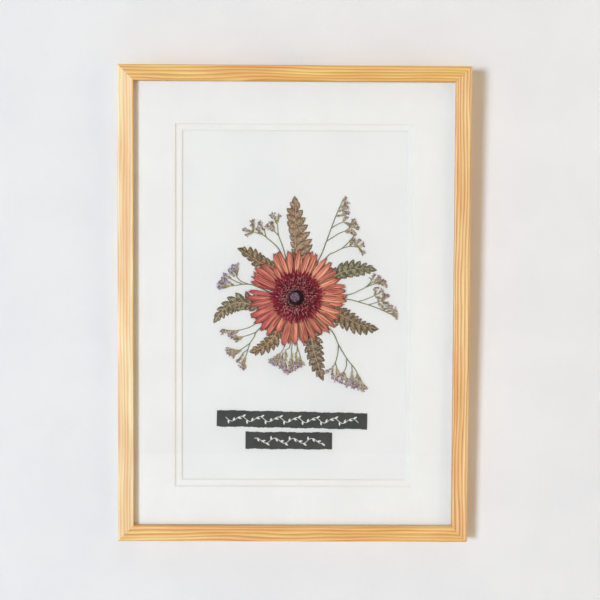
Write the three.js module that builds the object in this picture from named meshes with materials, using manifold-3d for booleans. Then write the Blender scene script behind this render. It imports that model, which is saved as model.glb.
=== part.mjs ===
// Pressed flower frame: a mitred pine frame with its glass, two bevelled mats and a backing board,
// and on the backing paper a dried gerbera among fern leaves, statice sprigs and two paper strips.
// Millimetres. +X is right, +Z is up and the front faces -Y. The origin is where the wall nail bears
// in the hanger, in the plane of the rails' backs.

import * as THREE from "three";
import { mergeVertices } from "three/addons/utils/BufferGeometryUtils.js";
import Module from "manifold-3d";

const wasm = await Module();
wasm.setup();

// The frame
const frameWidth = 357;
const frameHeight = 484;
const railFace = 16; // width of a rail, seen from the front
const railDepth = 22;
const rabbetWidth = 3.5; // how far the lip covers the sheets
const lipDepth = 7; // wood in front of the glass
const edgeRadius = 1.2;
const mitreGap = 0.1;
const restGap = 0.1; // between pieces that rest on each other

// The sheets in the rabbet, front to back
const sheetWidth = 330;
const sheetHeight = 457;
const glassThickness = 2;
const matThickness = 1.5;
const paperThickness = 0.5;
const boardThickness = 3;
const upperWindow = { width: 243, height: 371.5, x: 0.3, z: -1.6 };
const lowerWindow = { width: 230.5, height: 358.5, x: 0.8, z: -1.5 };

// The framer's points that hold the board in
const point = { width: 6, length: 14, held: 5, thickness: 0.4, clearance: 0.3 };
const pointsAcross = [-90, 90]; // along the top and the bottom rail
const pointsUp = [-150, 0, 150]; // along the left and the right rail

// The sawtooth hanger on the top rail, and its two nails
const hanger = { length: 46, height: 9, plate: 0.9, footLength: 8, bend: 3, rise: 1.5 };
const hangerTeeth = { count: 9, pitch: 2.4, depth: 2, tip: 0.4 };
const hangerDrop = 2.5; // from the frame's top edge to the hanger's top edge
const nail = { radius: 0.7, length: 9, taper: 2, head: 1.9, headFront: 1.5, headThickness: 0.8, x: 19.5 };
const nailHoleSize = { radius: 1, depth: 10 };

// The pressed plants. Lift is the height of a layer's back above the backing paper.
const hub = { x: 1.3, z: 7.8 }; // the flower's centre, from the frame's centre
const leafLayer = { lift: 0.1, thickness: 0.35, ribThickness: 0.5 };
const ribHalf = { base: 0.8, tip: 0.2 };
const sprigLayer = { lift: 0.1, thickness: 0.7 };
const stemHalf = { main: 0.65, branch: 0.5, end: 0.4 };
const sprayHalf = { least: 0.9, perLength: 0.1 };
const petalLayer = { lift: 0.95, thickness: 0.32, step: 0.4 };
const floretLayer = { lift: 1.75, thickness: 0.4 };
const stripLayer = { lift: 0.1, thickness: 0.2 };
const headRadius = 24; // the flower's head, where the petals start
const headFoot = 20; // its foot on the paper, clear of the stalks' ends
const headSides = 24;
const petalOverlap = 1.5; // how far a petal's base lies on the head
const outerFringe = { count: 36, tip: 27.4, notch: 23.4 };
const innerFringe = { count: 20, tip: 19.5, notch: 16.5 };
const fringeHole = 10;

// Where each sheet's front face lies
const glassFront = lipDepth - railDepth + restGap;
const upperMatFront = glassFront + glassThickness + restGap;
const lowerMatFront = upperMatFront + matThickness + restGap;
const paperFront = lowerMatFront + matThickness + restGap;
const boardFront = paperFront + paperThickness + restGap;
const pointMiddle = boardFront + boardThickness + point.clearance;
const rabbetWall = railFace - rabbetWidth;
const nailHeight = frameHeight / 2 - hangerDrop - hanger.height + hangerTeeth.depth;

// Materials
const pine = new THREE.MeshStandardMaterial({ color: 0xe0b276, roughness: 0.55 });
const glass = new THREE.MeshStandardMaterial({
  color: 0xffffff,
  roughness: 0.05,
  transparent: true,
  opacity: 0.2,
});
const matBoard = new THREE.MeshStandardMaterial({ color: 0xeeebe4, roughness: 0.9 });
const whitePaper = new THREE.MeshStandardMaterial({ color: 0xececea, roughness: 0.9 });
const hardboard = new THREE.MeshStandardMaterial({ color: 0x7a5a3c, roughness: 0.8 });
const steel = new THREE.MeshStandardMaterial({ color: 0xb0b2b4, roughness: 0.4, metalness: 1 });
const brassPlate = new THREE.MeshStandardMaterial({ color: 0xb89a58, roughness: 0.4, metalness: 1 });
const coralPetal = new THREE.MeshStandardMaterial({ color: 0xc8654f, roughness: 0.8 });
const maroonFloret = new THREE.MeshStandardMaterial({ color: 0x7a2a3c, roughness: 0.85 });
const darkDisc = new THREE.MeshStandardMaterial({ color: 0x3d2a30, roughness: 0.9 });
const driedFern = new THREE.MeshStandardMaterial({ color: 0x7a6a50, roughness: 0.85 });
const driedStatice = new THREE.MeshStandardMaterial({ color: 0x8c8660, roughness: 0.85 });
const blackPaper = new THREE.MeshStandardMaterial({ color: 0x3a3a3c, roughness: 0.85 });

// A closed geometry as a solid that can be joined and cut
function toSolid(geometry) {
  const bare = new THREE.BufferGeometry();
  bare.setAttribute("position", geometry.attributes.position);
  if (geometry.index) bare.setIndex(geometry.index);
  const merged = mergeVertices(bare, 1e-4);
  return new wasm.Manifold(
    new wasm.Mesh({
      numProp: 3,
      vertProperties: new Float32Array(merged.attributes.position.array),
      triVerts: new Uint32Array(merged.index.array),
    }),
  );
}

function toGeometry(solid) {
  const mesh = solid.getMesh();
  const geometry = new THREE.BufferGeometry();
  geometry.setAttribute("position", new THREE.BufferAttribute(mesh.vertProperties, 3));
  geometry.setIndex(new THREE.BufferAttribute(mesh.triVerts, 1));
  geometry.computeVertexNormals();
  return geometry;
}

function joined(geometries) {
  return toGeometry(geometries.map(toSolid).reduce((whole, next) => whole.add(next)));
}

function cut(geometry, tools) {
  return toGeometry(tools.map(toSolid).reduce((rest, tool) => rest.subtract(tool), toSolid(geometry)));
}

// A flat outline in X and Z made a plate. Its back is at y = -lift and its front nearer the viewer.
function plate(outline, thickness, lift = 0, curveSegments = 4) {
  const geometry = new THREE.ExtrudeGeometry(outline, {
    depth: thickness,
    bevelEnabled: false,
    curveSegments,
  });
  geometry.translate(0, 0, lift);
  geometry.rotateX(Math.PI / 2);
  return geometry;
}

function named(name, geometry, material) {
  const mesh = new THREE.Mesh(geometry, material);
  mesh.name = name;
  return mesh;
}

function rectangle(width, height, x = 0, z = 0) {
  return new THREE.Shape([
    new THREE.Vector2(x - width / 2, z - height / 2),
    new THREE.Vector2(x + width / 2, z - height / 2),
    new THREE.Vector2(x + width / 2, z + height / 2),
    new THREE.Vector2(x - width / 2, z + height / 2),
  ]);
}

// The rail's section: across from the outer edge, and depth with the back at 0
function railSection() {
  const front = -railDepth;
  const section = new THREE.Shape();
  section.absarc(edgeRadius, front + edgeRadius, edgeRadius, Math.PI, 1.5 * Math.PI);
  section.absarc(railFace - edgeRadius, front + edgeRadius, edgeRadius, 1.5 * Math.PI, 2 * Math.PI);
  section.lineTo(railFace, front + lipDepth);
  section.lineTo(rabbetWall, front + lipDepth);
  section.lineTo(rabbetWall, 0);
  section.lineTo(0, 0);
  return section;
}

// A mitred rail along X, with its outer edge at z = across
function railGeometry(length, across) {
  const geometry = new THREE.ExtrudeGeometry(railSection(), {
    depth: 1,
    bevelEnabled: false,
    curveSegments: 3,
  });
  const at = geometry.attributes.position;
  for (let i = 0; i < at.count; i++) {
    const inward = at.getX(i);
    const end = at.getZ(i) > 0.5 ? 1 : -1;
    at.setXYZ(i, end * (length / 2 - inward - mitreGap / 2), at.getY(i), across - inward);
  }
  return geometry;
}

// The slit in the rabbet's wall that a framer's point is driven into
function pointSlit(along, across) {
  const slit = new THREE.BoxGeometry(
    point.width + 2 * point.clearance,
    point.thickness + 2 * point.clearance,
    point.held + 2 * point.clearance,
  );
  slit.translate(along, pointMiddle, across - rabbetWall + point.held / 2);
  return slit;
}

// A framer's point: a flat tongue with a round free end over the board
function pointGeometry(along, across) {
  const halfWidth = point.width / 2;
  const inner = across - rabbetWall + point.held - point.length + halfWidth;
  const tongue = new THREE.Shape();
  tongue.moveTo(along + halfWidth, across - rabbetWall + point.held);
  tongue.lineTo(along - halfWidth, across - rabbetWall + point.held);
  tongue.absarc(along, inner, halfWidth, Math.PI, 2 * Math.PI);
  return plate(tongue, point.thickness, -pointMiddle - point.thickness / 2, 2);
}

function nailHole(x) {
  const { radius, depth } = nailHoleSize;
  const hole = new THREE.CylinderGeometry(radius, radius, 2 * depth, 10);
  hole.translate(x, 0, frameHeight / 2 - hangerDrop - hanger.height / 2);
  return hole;
}

// One side of the frame: a rail and its framer's points, turned into place from the top
function side(name, angle, length, across, pointsAt, holes = []) {
  const group = new THREE.Group();
  group.rotation.y = angle;
  const cuts = [...pointsAt.map((along) => pointSlit(along, across)), ...holes];
  group.add(named(`frame_rail_${name}`, cut(railGeometry(length, across), cuts), pine));
  pointsAt.forEach((along, i) => {
    group.add(named(`retaining_point_${name}_${i + 1}`, pointGeometry(along, across), steel));
  });
  return group;
}

function sheet(name, thickness, front, material) {
  const mesh = named(name, new THREE.BoxGeometry(sheetWidth, thickness, sheetHeight), material);
  mesh.position.y = front + thickness / 2;
  return mesh;
}

// A mat: the window is cut at 45 degrees, so it is smaller at the back than at the front
function mat(name, window, front) {
  const outline = rectangle(sheetWidth, sheetHeight);
  outline.holes.push(rectangle(window.width, window.height, window.x, window.z));
  const geometry = plate(outline, matThickness);
  const at = geometry.attributes.position;
  for (let i = 0; i < at.count; i++) {
    const x = at.getX(i);
    const z = at.getZ(i);
    const onWindow = Math.abs(x) < (sheetWidth + window.width) / 4;
    const atBack = at.getY(i) > -matThickness / 2;
    if (!onWindow || !atBack) continue;
    at.setX(i, x - Math.sign(x - window.x) * matThickness);
    at.setZ(i, z - Math.sign(z - window.z) * matThickness);
  }
  const mesh = named(name, geometry, matBoard);
  mesh.position.y = front + matThickness;
  return mesh;
}

// The hanger's plate, seen from above: two feet on the rail and a raised middle
function hangerSection() {
  const { length, plate: t, footLength, bend, rise } = hanger;
  const outer = [
    [length / 2, 0],
    [length / 2 - footLength, 0],
    [length / 2 - footLength - bend, rise],
  ];
  const right = outer.map(([x, y]) => new THREE.Vector2(x, y));
  const left = [...right].reverse().map((p) => new THREE.Vector2(-p.x, p.y));
  const under = [...right, ...left];
  const over = [...under].reverse().map((p) => new THREE.Vector2(p.x, p.y + t));
  return new THREE.Shape([...under, ...over].reverse());
}

function sawtoothHanger() {
  const geometry = new THREE.ExtrudeGeometry(hangerSection(), {
    depth: hanger.height,
    bevelEnabled: false,
  });
  const top = frameHeight / 2 - hangerDrop;
  geometry.translate(0, restGap, top - hanger.height);
  const cuts = [nailHole(-nail.x), nailHole(nail.x)];
  const { count, pitch, depth, tip } = hangerTeeth;
  const below = -depth / 2; // each notch starts under the plate's edge
  const through = 2 * (hanger.rise + hanger.plate);
  for (let i = 0; i < count; i++) {
    const x = (i - (count - 1) / 2) * pitch;
    const notch = new THREE.Shape([
      new THREE.Vector2(x - (pitch - tip) / 2, below),
      new THREE.Vector2(x + (pitch - tip) / 2, below),
      new THREE.Vector2(x, depth),
    ]);
    cuts.push(plate(notch, 2 * through, -through).translate(0, 0, top - hanger.height));
  }
  return named("sawtooth_hanger", cut(geometry, cuts), brassPlate);
}

// A nail turned about Y: a round flat head on the hanger's foot and a shank in the rail
function hangerNail(name, x) {
  const headBack = restGap + hanger.plate + restGap;
  const profile = [
    [0, -nail.length],
    [nail.radius, nail.taper - nail.length],
    [nail.radius, headBack],
    [nail.head, headBack],
    [nail.headFront, headBack + nail.headThickness],
    [0, headBack + nail.headThickness],
  ];
  const turned = new THREE.LatheGeometry(
    profile.map(([r, y]) => new THREE.Vector2(r, y)),
    8,
  );
  turned.translate(x, 0, frameHeight / 2 - hangerDrop - hanger.height / 2);
  return named(name, turned, steel);
}

// A value that runs through evenly spaced stops
function along(stops, t) {
  const place = Math.min(Math.max(t, 0), 1) * (stops.length - 1);
  const i = Math.min(Math.floor(place), stops.length - 2);
  return stops[i] + (stops[i + 1] - stops[i]) * (place - i);
}

// A point beside a curve: t along it, and across to its left
function beside(curve, t, across) {
  const place = Math.min(Math.max(t, 0), 1);
  const at = curve.getPointAt(place);
  const ahead = curve.getTangentAt(place);
  return new THREE.Vector2(at.x - ahead.y * across, at.y + ahead.x * across);
}

// A strip through the points given, tapering from one half width to the other
function taperedStrip(points, fromHalf, toHalf, thickness, lift) {
  const last = points.length - 1;
  const edge = (hand) =>
    points.map((at, i) => {
      const ahead = points[Math.min(i + 1, last)].clone().sub(points[Math.max(i - 1, 0)]).normalize();
      const half = hand * (fromHalf + ((toHalf - fromHalf) * i) / last);
      return new THREE.Vector2(at.x - ahead.y * half, at.y + ahead.x * half);
    });
  return plate(new THREE.Shape([...edge(-1), ...edge(1).reverse()]), thickness, lift);
}

// A lobe's notch, belly and tip: how far along its own stretch of rib, and the share of the half width
const lobePoints = [[0, 0.4], [0.4, 0.88], [1.15, 1]];
const lobeMiddle = 0.6;

// One side of a fern leaf: forward-pointing lobes, the last of them ending in the leaf's own tip
function lobes(curve, halfWidths, count, hand) {
  const points = [];
  for (let i = 0; i < count; i++) {
    const half = hand * along(halfWidths, (i + lobeMiddle) / count);
    points.push(...lobePoints.map(([step, share]) => beside(curve, (i + step) / count, share * half)));
  }
  return points.slice(0, -1);
}

// The fern leaves, in millimetres from the flower's centre: the rib from base to tip, the half widths
// of both sides along the blade, and how many lobes each side has
const leaves = [
  {
    name: "top",
    rib: [[4, 24], [2.3, 43], [0.3, 53.5], [-0.4, 72.5], [0, 91], [-1, 103.3]],
    left: [5, 5, 6, 9, 9, 0.5],
    right: [16, 17.5, 15.5, 12, 6.5, 0.5],
    lobes: [9, 8],
  },
  {
    name: "upper_left",
    rib: [[-17, 19], [-21, 29], [-36.5, 35.5], [-44, 40.5], [-52, 45.5], [-59.3, 49.8]],
    left: [8, 9, 8, 4.5, 3, 0.5],
    right: [5, 6, 8, 9, 7.5, 0.5],
    lobes: [6, 8],
  },
  {
    name: "left",
    rib: [[-24, -7], [-39, -9.5], [-48.6, -6.8], [-56, -5.6], [-64.7, -7.5], [-72.7, -13], [-79, -20.5],
      [-83.2, -27.1]],
    left: [6, 7, 9, 8.7, 6, 0.5],
    right: [9, 12, 9, 6.4, 4.8, 0.5],
    lobes: [10, 8],
  },
  {
    name: "lower_left",
    rib: [[-15, -21], [-20.5, -39], [-26, -45.2], [-33, -51], [-39, -54], [-46.8, -56.3]],
    left: [9, 10, 9.3, 7.5, 5.5, 0.5],
    right: [5, 6, 6.2, 5.6, 4.4, 0.5],
    lobes: [6, 6],
  },
  {
    name: "bottom",
    rib: [[9, -24], [16.5, -41], [19, -53], [21.2, -61], [25.4, -73.6], [29.5, -86]],
    left: [10, 10.3, 10, 7.3, 4, 0.5],
    right: [9, 11, 9.8, 8.6, 6, 0.5],
    lobes: [7, 7],
  },
  {
    name: "lower_right",
    rib: [[23, -10], [43.5, -16.5], [50.4, -20], [56, -22.6], [62, -26], [68.3, -28], [86.2, -32.4]],
    left: [9, 10, 8.6, 6, 3.2, 0.5],
    right: [12, 12, 11.2, 10.2, 8, 0.5],
    lobes: [9, 8],
  },
  {
    name: "right",
    rib: [[22, 10], [44.3, 24], [52.4, 27], [60, 28.8], [68.8, 30], [76, 29.5], [83.8, 27.8]],
    left: [9, 10, 10.5, 7, 4.4, 0.5],
    right: [7, 7.5, 8, 8.4, 5.8, 0.5],
    lobes: [8, 7],
  },
];

function vectors(points) {
  return points.map(([x, z]) => new THREE.Vector2(x, z));
}

// A leaf: the blade starts at the rib's second point, and the rib's first stretch is its stalk
function fernLeaf(leaf) {
  const rib = vectors(leaf.rib);
  const blade = new THREE.SplineCurve(rib.slice(1));
  const leftSide = lobes(blade, leaf.left, leaf.lobes[0], 1);
  const rightSide = lobes(blade, leaf.right, leaf.lobes[1], -1);
  const tip = beside(blade, 1, 0);
  const outline = new THREE.Shape([...rightSide, tip, ...leftSide.reverse()]);
  const { lift, thickness, ribThickness } = leafLayer;
  return joined([
    plate(outline, thickness, lift),
    taperedStrip(rib, ribHalf.base, ribHalf.tip, ribThickness, lift),
  ]);
}

// Each statice sprig is its stems, thickest first, and its sprays of flowers from base to tip
const sprigs = [
  {
    name: "upper_left_outer",
    stems: [
      [[-8, 23], [-15.4, 46.9], [-29.7, 61], [-36.5, 64.4], [-43, 66.3]],
      [[-29.7, 61], [-31.2, 66], [-31.2, 69.5]],
    ],
    sprays: [
      [[-42, 66], [-53.5, 68.9]], [[-43, 66.3], [-49.4, 61.3]], [[-43, 66], [-43.6, 80.4]],
      [[-31.2, 66.5], [-37.8, 78.9]], [[-32.5, 62.5], [-39.6, 70.5]],
    ],
  },
  {
    name: "upper_left_inner",
    stems: [
      [[-4.5, 24], [-8, 34], [-12.3, 50], [-17, 63], [-18.3, 75]],
      [[-16.8, 62.5], [-21, 66.6], [-24.8, 69.7]],
    ],
    sprays: [
      [[-18.3, 74], [-23.9, 85.6]], [[-18.4, 74.8], [-16.9, 84]], [[-20, 65.5], [-30.3, 73.4]],
      [[-21.1, 67], [-25.1, 77]],
    ],
  },
  {
    name: "top_right_tall",
    stems: [
      [[13, 22], [25, 40.5], [32.3, 59], [37, 72], [42, 85], [46, 94.5], [48.5, 99]],
      [[36.5, 70.5], [42.7, 74.4], [49, 77]],
      [[31.5, 57], [44, 65], [51.4, 68.2], [55.8, 72]],
    ],
    sprays: [
      [[46.5, 96], [51.3, 101.6]], [[44.2, 90], [54, 97]], [[42.8, 87], [54.6, 92.2]],
      [[41, 82.4], [54.6, 86.6]], [[48, 76.6], [52, 81.8]], [[49, 77], [55.6, 73.8]],
      [[55, 71], [60, 80]], [[55.4, 71.6], [64.3, 71.4]], [[51, 68], [62.3, 64]],
    ],
  },
  {
    name: "top_right_short",
    stems: [
      [[17, 18], [32.4, 41.3], [39.8, 45.9], [47.8, 50], [55.2, 51.9], [62, 51.6], [66, 50.4]],
      [[47.2, 49.6], [53.9, 58.4]],
    ],
    sprays: [
      [[52.7, 56.5], [56.4, 62]], [[54, 51.6], [59.5, 57]], [[60, 51.7], [65.4, 58.6]],
      [[62, 51.5], [70.2, 54.2]], [[64, 51], [70.4, 45.2]],
    ],
  },
  {
    name: "left",
    stems: [
      [[-24, 4], [-41.2, 11.5], [-48, 13], [-54.8, 12.7], [-62.3, 11.4], [-68, 11]],
      [[-46.8, 12.8], [-52.4, 16.4], [-57, 22]],
      [[-53, 12.6], [-58.6, 17], [-63, 19.8]],
    ],
    sprays: [
      [[-56.6, 21.4], [-58, 35.8]], [[-57, 22], [-64.8, 31.8]], [[-61.5, 19], [-68.4, 28.4]],
      [[-62.5, 19.6], [-72.2, 24]], [[-62.3, 11.4], [-75.8, 19.4]], [[-66.5, 11], [-79.2, 14.2]],
      [[-66.5, 11.1], [-78.2, 7]],
    ],
  },
  {
    name: "lower_left_upper",
    stems: [
      [[-21, -13], [-42.3, -28.8], [-52.2, -32.9], [-58.4, -34.1], [-66, -34.5]],
    ],
    sprays: [
      [[-64, -34.4], [-73.5, -33]], [[-65, -34.6], [-76, -36]], [[-58, -34.2], [-68.3, -39.6]],
    ],
  },
  {
    name: "lower_left_lower",
    stems: [
      [[-18, -16], [-38, -34.1], [-41.7, -41], [-46, -47.8], [-49.1, -57.7], [-51.2, -63]],
      [[-38.4, -35.2], [-46, -38.6], [-54, -40.9]],
      [[-45.4, -47], [-51.6, -51.5], [-57.1, -55]],
      [[-47.6, -53.2], [-53, -57.6]],
    ],
    sprays: [
      [[-53, -40.6], [-65.8, -43.6]], [[-53, -40.8], [-60, -47.4]], [[-56.5, -54.6], [-70.9, -52.8]],
      [[-56.8, -55], [-70.1, -57.4]], [[-56.7, -54.7], [-65.4, -61.4]], [[-52, -56.6], [-59, -67]],
      [[-50.8, -61.6], [-52.4, -74.8]], [[-51, -62], [-56, -72]],
    ],
  },
  {
    name: "bottom",
    stems: [
      [[-3.5, -23], [-10.5, -50], [-15.1, -57.6]],
      [[-3, -23], [-5, -49.4], [-9.2, -54], [-10.2, -58.5]],
      [[-2.5, -23], [-3.1, -50], [-4, -62.4]],
      [[-2, -23], [2.4, -51.3], [-0.4, -62.5]],
      [[2.2, -50], [6.1, -62]],
    ],
    sprays: [
      [[-14.8, -57], [-26.3, -67.8]], [[-14.8, -57.4], [-22.5, -69.6]], [[-14.8, -57.1], [-18.8, -70.4]],
      [[-10, -57.4], [-13.6, -74.4]], [[-4, -60], [-10.5, -76]], [[-4, -61.5], [-7.2, -79.3]],
      [[-4, -61.5], [-2.8, -78]], [[-0.3, -61.5], [2.6, -74.4]], [[5.8, -61], [4.6, -71.8]],
      [[6, -61.5], [9.2, -71.6]],
    ],
  },
  {
    name: "bottom_right",
    stems: [
      [[18, -17], [37.5, -34.3], [45.1, -49.4], [53.5, -63], [61.8, -73.4], [66, -81.5], [71.5, -91]],
      [[44.6, -48], [43.8, -58.3], [41.1, -68], [37.2, -73.6]],
      [[53, -62], [52.8, -70.7], [49.8, -77]],
      [[58.4, -69], [58.7, -79]],
      [[41.6, -67], [43.6, -74]],
    ],
    sprays: [
      [[38, -72.6], [32, -76.6]], [[37.6, -73], [35, -82]], [[43, -72], [42.4, -88.2]],
      [[43.4, -73], [47, -81]], [[50.2, -76], [47, -88]], [[50.2, -76], [54, -86]],
      [[58.6, -78], [54.6, -91]], [[58.8, -78.4], [59.4, -93.6]], [[63.6, -76.6], [63.4, -93]],
      [[66, -81], [66, -95]], [[68.4, -85.6], [69.8, -96.4]], [[70.6, -89], [74, -95.4]],
    ],
  },
  {
    name: "right_lower",
    stems: [
      [[25, -2], [53.2, -2], [65, -4.6], [75.6, -7.8], [86.2, -11.6], [97.4, -16.8], [103.5, -19.8]],
      [[64.2, -4.4], [73.8, -1.3], [81.8, 2.2]],
      [[74.8, -7.6], [83.2, -5.1], [88.5, -3.2]],
    ],
    sprays: [
      [[81.4, 1.8], [82.4, 10.4]], [[81.8, 2], [89.6, 6.6]], [[81.6, 2], [86.2, -1.6]],
      [[87.8, -3.6], [91.6, 3]], [[88, -3.5], [95.4, 2.4]], [[87.8, -3.4], [94.8, -7]],
      [[89.8, -13.2], [99, -8.4]], [[92.8, -14.6], [104.4, -12]], [[99.6, -18], [105.2, -21]],
    ],
  },
  {
    name: "right_upper",
    stems: [
      [[24, 3], [53.5, 2.8], [66.7, 7.7], [72.5, 11], [77.7, 17.2], [74.9, 21]],
      [[71.6, 10.2], [81.9, 14], [89.4, 13.6]],
    ],
    sprays: [
      [[77.6, 17.1], [80.6, 23.4]], [[77, 16.3], [86, 21.3]], [[80, 13.4], [89.6, 18.8]],
      [[83, 14], [92.6, 16]], [[87, 13.7], [92.6, 11.6]],
    ],
  },
];

// The teeth of a spray: how far along, and the share of its half width
const sprayTeeth = [[0.42, 1], [0.48, 0.5], [0.85, 0.85]];

// A spray: a thin spike with forward teeth on both sides
function spray([from, to]) {
  const base = new THREE.Vector2(...from);
  const tip = new THREE.Vector2(...to);
  const axis = new THREE.LineCurve(base, tip);
  const half = sprayHalf.least + sprayHalf.perLength * base.distanceTo(tip);
  const left = sprayTeeth.map(([t, share]) => beside(axis, t, share * half));
  const right = sprayTeeth.map(([t, share]) => beside(axis, t, -share * half));
  const outline = new THREE.Shape([base, ...right, tip, ...left.reverse()]);
  return plate(outline, sprigLayer.thickness, sprigLayer.lift);
}

function staticeSprig(sprig) {
  const { thickness, lift } = sprigLayer;
  const stems = sprig.stems.map((points, i) => {
    const baseHalf = i === 0 ? stemHalf.main : stemHalf.branch;
    return taperedStrip(vectors(points), baseHalf, stemHalf.end, thickness, lift);
  });
  return joined([...stems, ...sprig.sprays.map(spray)]);
}

// The gerbera's long petals, counter-clockwise from +X: the angle in degrees and the tip's radius
const rayPetals = [
  [0.5, 54], [7.7, 53], [16.8, 53.5], [32.3, 51.5], [42.4, 51.3], [51.7, 52], [62, 49.4], [68.5, 51],
  [74, 49], [82, 44.8], [87, 49.8], [97.6, 48], [108.2, 49.8], [117.4, 50.5], [133.2, 49.4],
  [142, 52.3], [148.8, 50.5], [155.4, 50.3], [160.4, 48.5], [173.8, 48.6], [183, 49.8], [189.3, 48.6],
  [204.9, 50.8], [213.5, 50.8], [221.7, 50.2], [232.6, 50], [241.6, 42.6], [252.2, 50.4], [258, 52],
  [267.9, 50.3], [272.2, 50.6], [280.4, 48.3], [284.6, 49], [294.3, 50.2], [306.2, 46.9],
  [312.4, 52.2], [322.3, 52], [334.6, 51.5], [340, 52.6], [351.1, 50.8], [356.8, 53.6],
];

// A petal's half width along it: narrow at the head, widest past its middle, with a blunt point
const petalStations = [[0, 1.3], [0.35, 2.3], [0.72, 2.8], [0.94, 1.5]];

function petalOutline(reach) {
  const start = headRadius - petalOverlap;
  const place = (t) => start + (reach - start) * t;
  const right = petalStations.map(([t, half]) => new THREE.Vector2(place(t), -half));
  const left = petalStations.map(([t, half]) => new THREE.Vector2(place(t), half)).reverse();
  return new THREE.Shape([...right, new THREE.Vector2(reach, 0), ...left]);
}

function rayPetalRing() {
  const { lift, thickness, step } = petalLayer;
  const head = new THREE.CylinderGeometry(headRadius, headRadius, step + thickness, headSides);
  head.translate(0, -lift - (step + thickness) / 2, 0);
  const foot = new THREE.CylinderGeometry(headFoot, headFoot, lift, headSides);
  foot.translate(0, -leafLayer.lift - lift / 2, 0);
  const petals = rayPetals.map(([degrees, reach], i) => {
    const petal = plate(petalOutline(reach), thickness, lift + (i % 2) * step);
    return petal.rotateY(THREE.MathUtils.degToRad(-degrees));
  });
  return joined([head, foot, ...petals]);
}

// A ring with a fringed outer edge
function fringe({ count, tip, notch }) {
  const points = [];
  for (let i = 0; i < 2 * count; i++) {
    const radius = i % 2 ? notch : tip;
    const angle = (i * Math.PI) / count;
    points.push(new THREE.Vector2(radius * Math.cos(angle), radius * Math.sin(angle)));
  }
  const ring = new THREE.Shape(points);
  ring.holes.push(new THREE.Path().absarc(0, 0, fringeHole, 0, 2 * Math.PI, true));
  return ring;
}

function innerFlorets() {
  const { lift, thickness } = floretLayer;
  return joined([
    plate(fringe(outerFringe), thickness, lift, 6),
    plate(fringe(innerFringe), 2 * thickness, lift, 6),
  ]);
}

// The disc's radius and height above the head: a low button in a raised ring
const discProfile = [
  [0, 1.05],
  [3.4, 0.95],
  [4.6, 0.45],
  [6, 0.5],
  [8.4, 0.85],
  [9.6, 0.5],
  [9.6, 0],
  [0, 0],
];

function gerberaDisc() {
  return new THREE.LatheGeometry(
    discProfile.map(([r, height]) => new THREE.Vector2(r, -floretLayer.lift - height)),
    16,
  );
}

// The two paper strips under the flower: straight ends and torn, wavy long edges
const strips = [
  { name: "upper", x: -2.5, z: -126, length: 154.4, height: 16.8, tilt: -1 },
  { name: "lower", x: -5.7, z: -147.6, length: 89, height: 17.6, tilt: -0.3 },
];

const tear = { height: 0.35, turn: 1.9, fineHeight: 0.2, fineTurn: 4.3, steps: 14 };

function paperStrip({ length, height }) {
  const { steps } = tear;
  const wave = (i, phase) =>
    tear.height * Math.sin(tear.turn * i + phase) + tear.fineHeight * Math.sin(tear.fineTurn * i + phase);
  const lower = [];
  const upper = [];
  for (let i = 0; i <= steps; i++) {
    const x = (i / steps - 0.5) * length;
    lower.push(new THREE.Vector2(x, -height / 2 + wave(i, 0)));
    upper.push(new THREE.Vector2(x, height / 2 + wave(i, 2)));
  }
  return plate(new THREE.Shape([...lower, ...upper.reverse()]), stripLayer.thickness, stripLayer.lift);
}

const group = new THREE.Group();
const picture = new THREE.Group(); // centred on the frame
picture.position.z = -nailHeight;
group.add(picture);

picture.add(
  side("top", 0, frameWidth, frameHeight / 2, pointsAcross, [nailHole(-nail.x), nailHole(nail.x)]),
  side("right", Math.PI / 2, frameHeight, frameWidth / 2, pointsUp),
  side("bottom", Math.PI, frameWidth, frameHeight / 2, pointsAcross),
  side("left", -Math.PI / 2, frameHeight, frameWidth / 2, pointsUp),
  sheet("glass_pane", glassThickness, glassFront, glass),
  mat("upper_mat", upperWindow, upperMatFront),
  mat("lower_mat", lowerWindow, lowerMatFront),
  sheet("backing_paper", paperThickness, paperFront, whitePaper),
  sheet("backing_board", boardThickness, boardFront, hardboard),
  sawtoothHanger(),
  hangerNail("hanger_nail_left", -nail.x),
  hangerNail("hanger_nail_right", nail.x),
);

const bouquet = new THREE.Group(); // centred on the flower, on the paper's face
bouquet.position.set(hub.x, paperFront, hub.z);
picture.add(bouquet);

bouquet.add(
  ...leaves.map((leaf) => named(`fern_leaf_${leaf.name}`, fernLeaf(leaf), driedFern)),
  ...sprigs.map((sprig) => named(`statice_sprig_${sprig.name}`, staticeSprig(sprig), driedStatice)),
  named("gerbera_ray_petals", rayPetalRing(), coralPetal),
  named("gerbera_inner_florets", innerFlorets(), maroonFloret),
  named("gerbera_disc", gerberaDisc(), darkDisc),
);

for (const strip of strips) {
  const mesh = named(`black_strip_${strip.name}`, paperStrip(strip), blackPaper);
  mesh.position.set(strip.x, 0, strip.z);
  mesh.rotation.y = THREE.MathUtils.degToRad(-strip.tilt);
  bouquet.add(mesh);
}

export default group;
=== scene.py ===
# A pressed flower frame: finishes for the frame's own parts, and the dried plants as fine surfaces.
# Lengths are millimetres where a name doesn't say otherwise, and metres once they are in a mesh.

import math

import bmesh
import bpy
import numpy as np
from mathutils import Matrix, Vector


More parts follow.
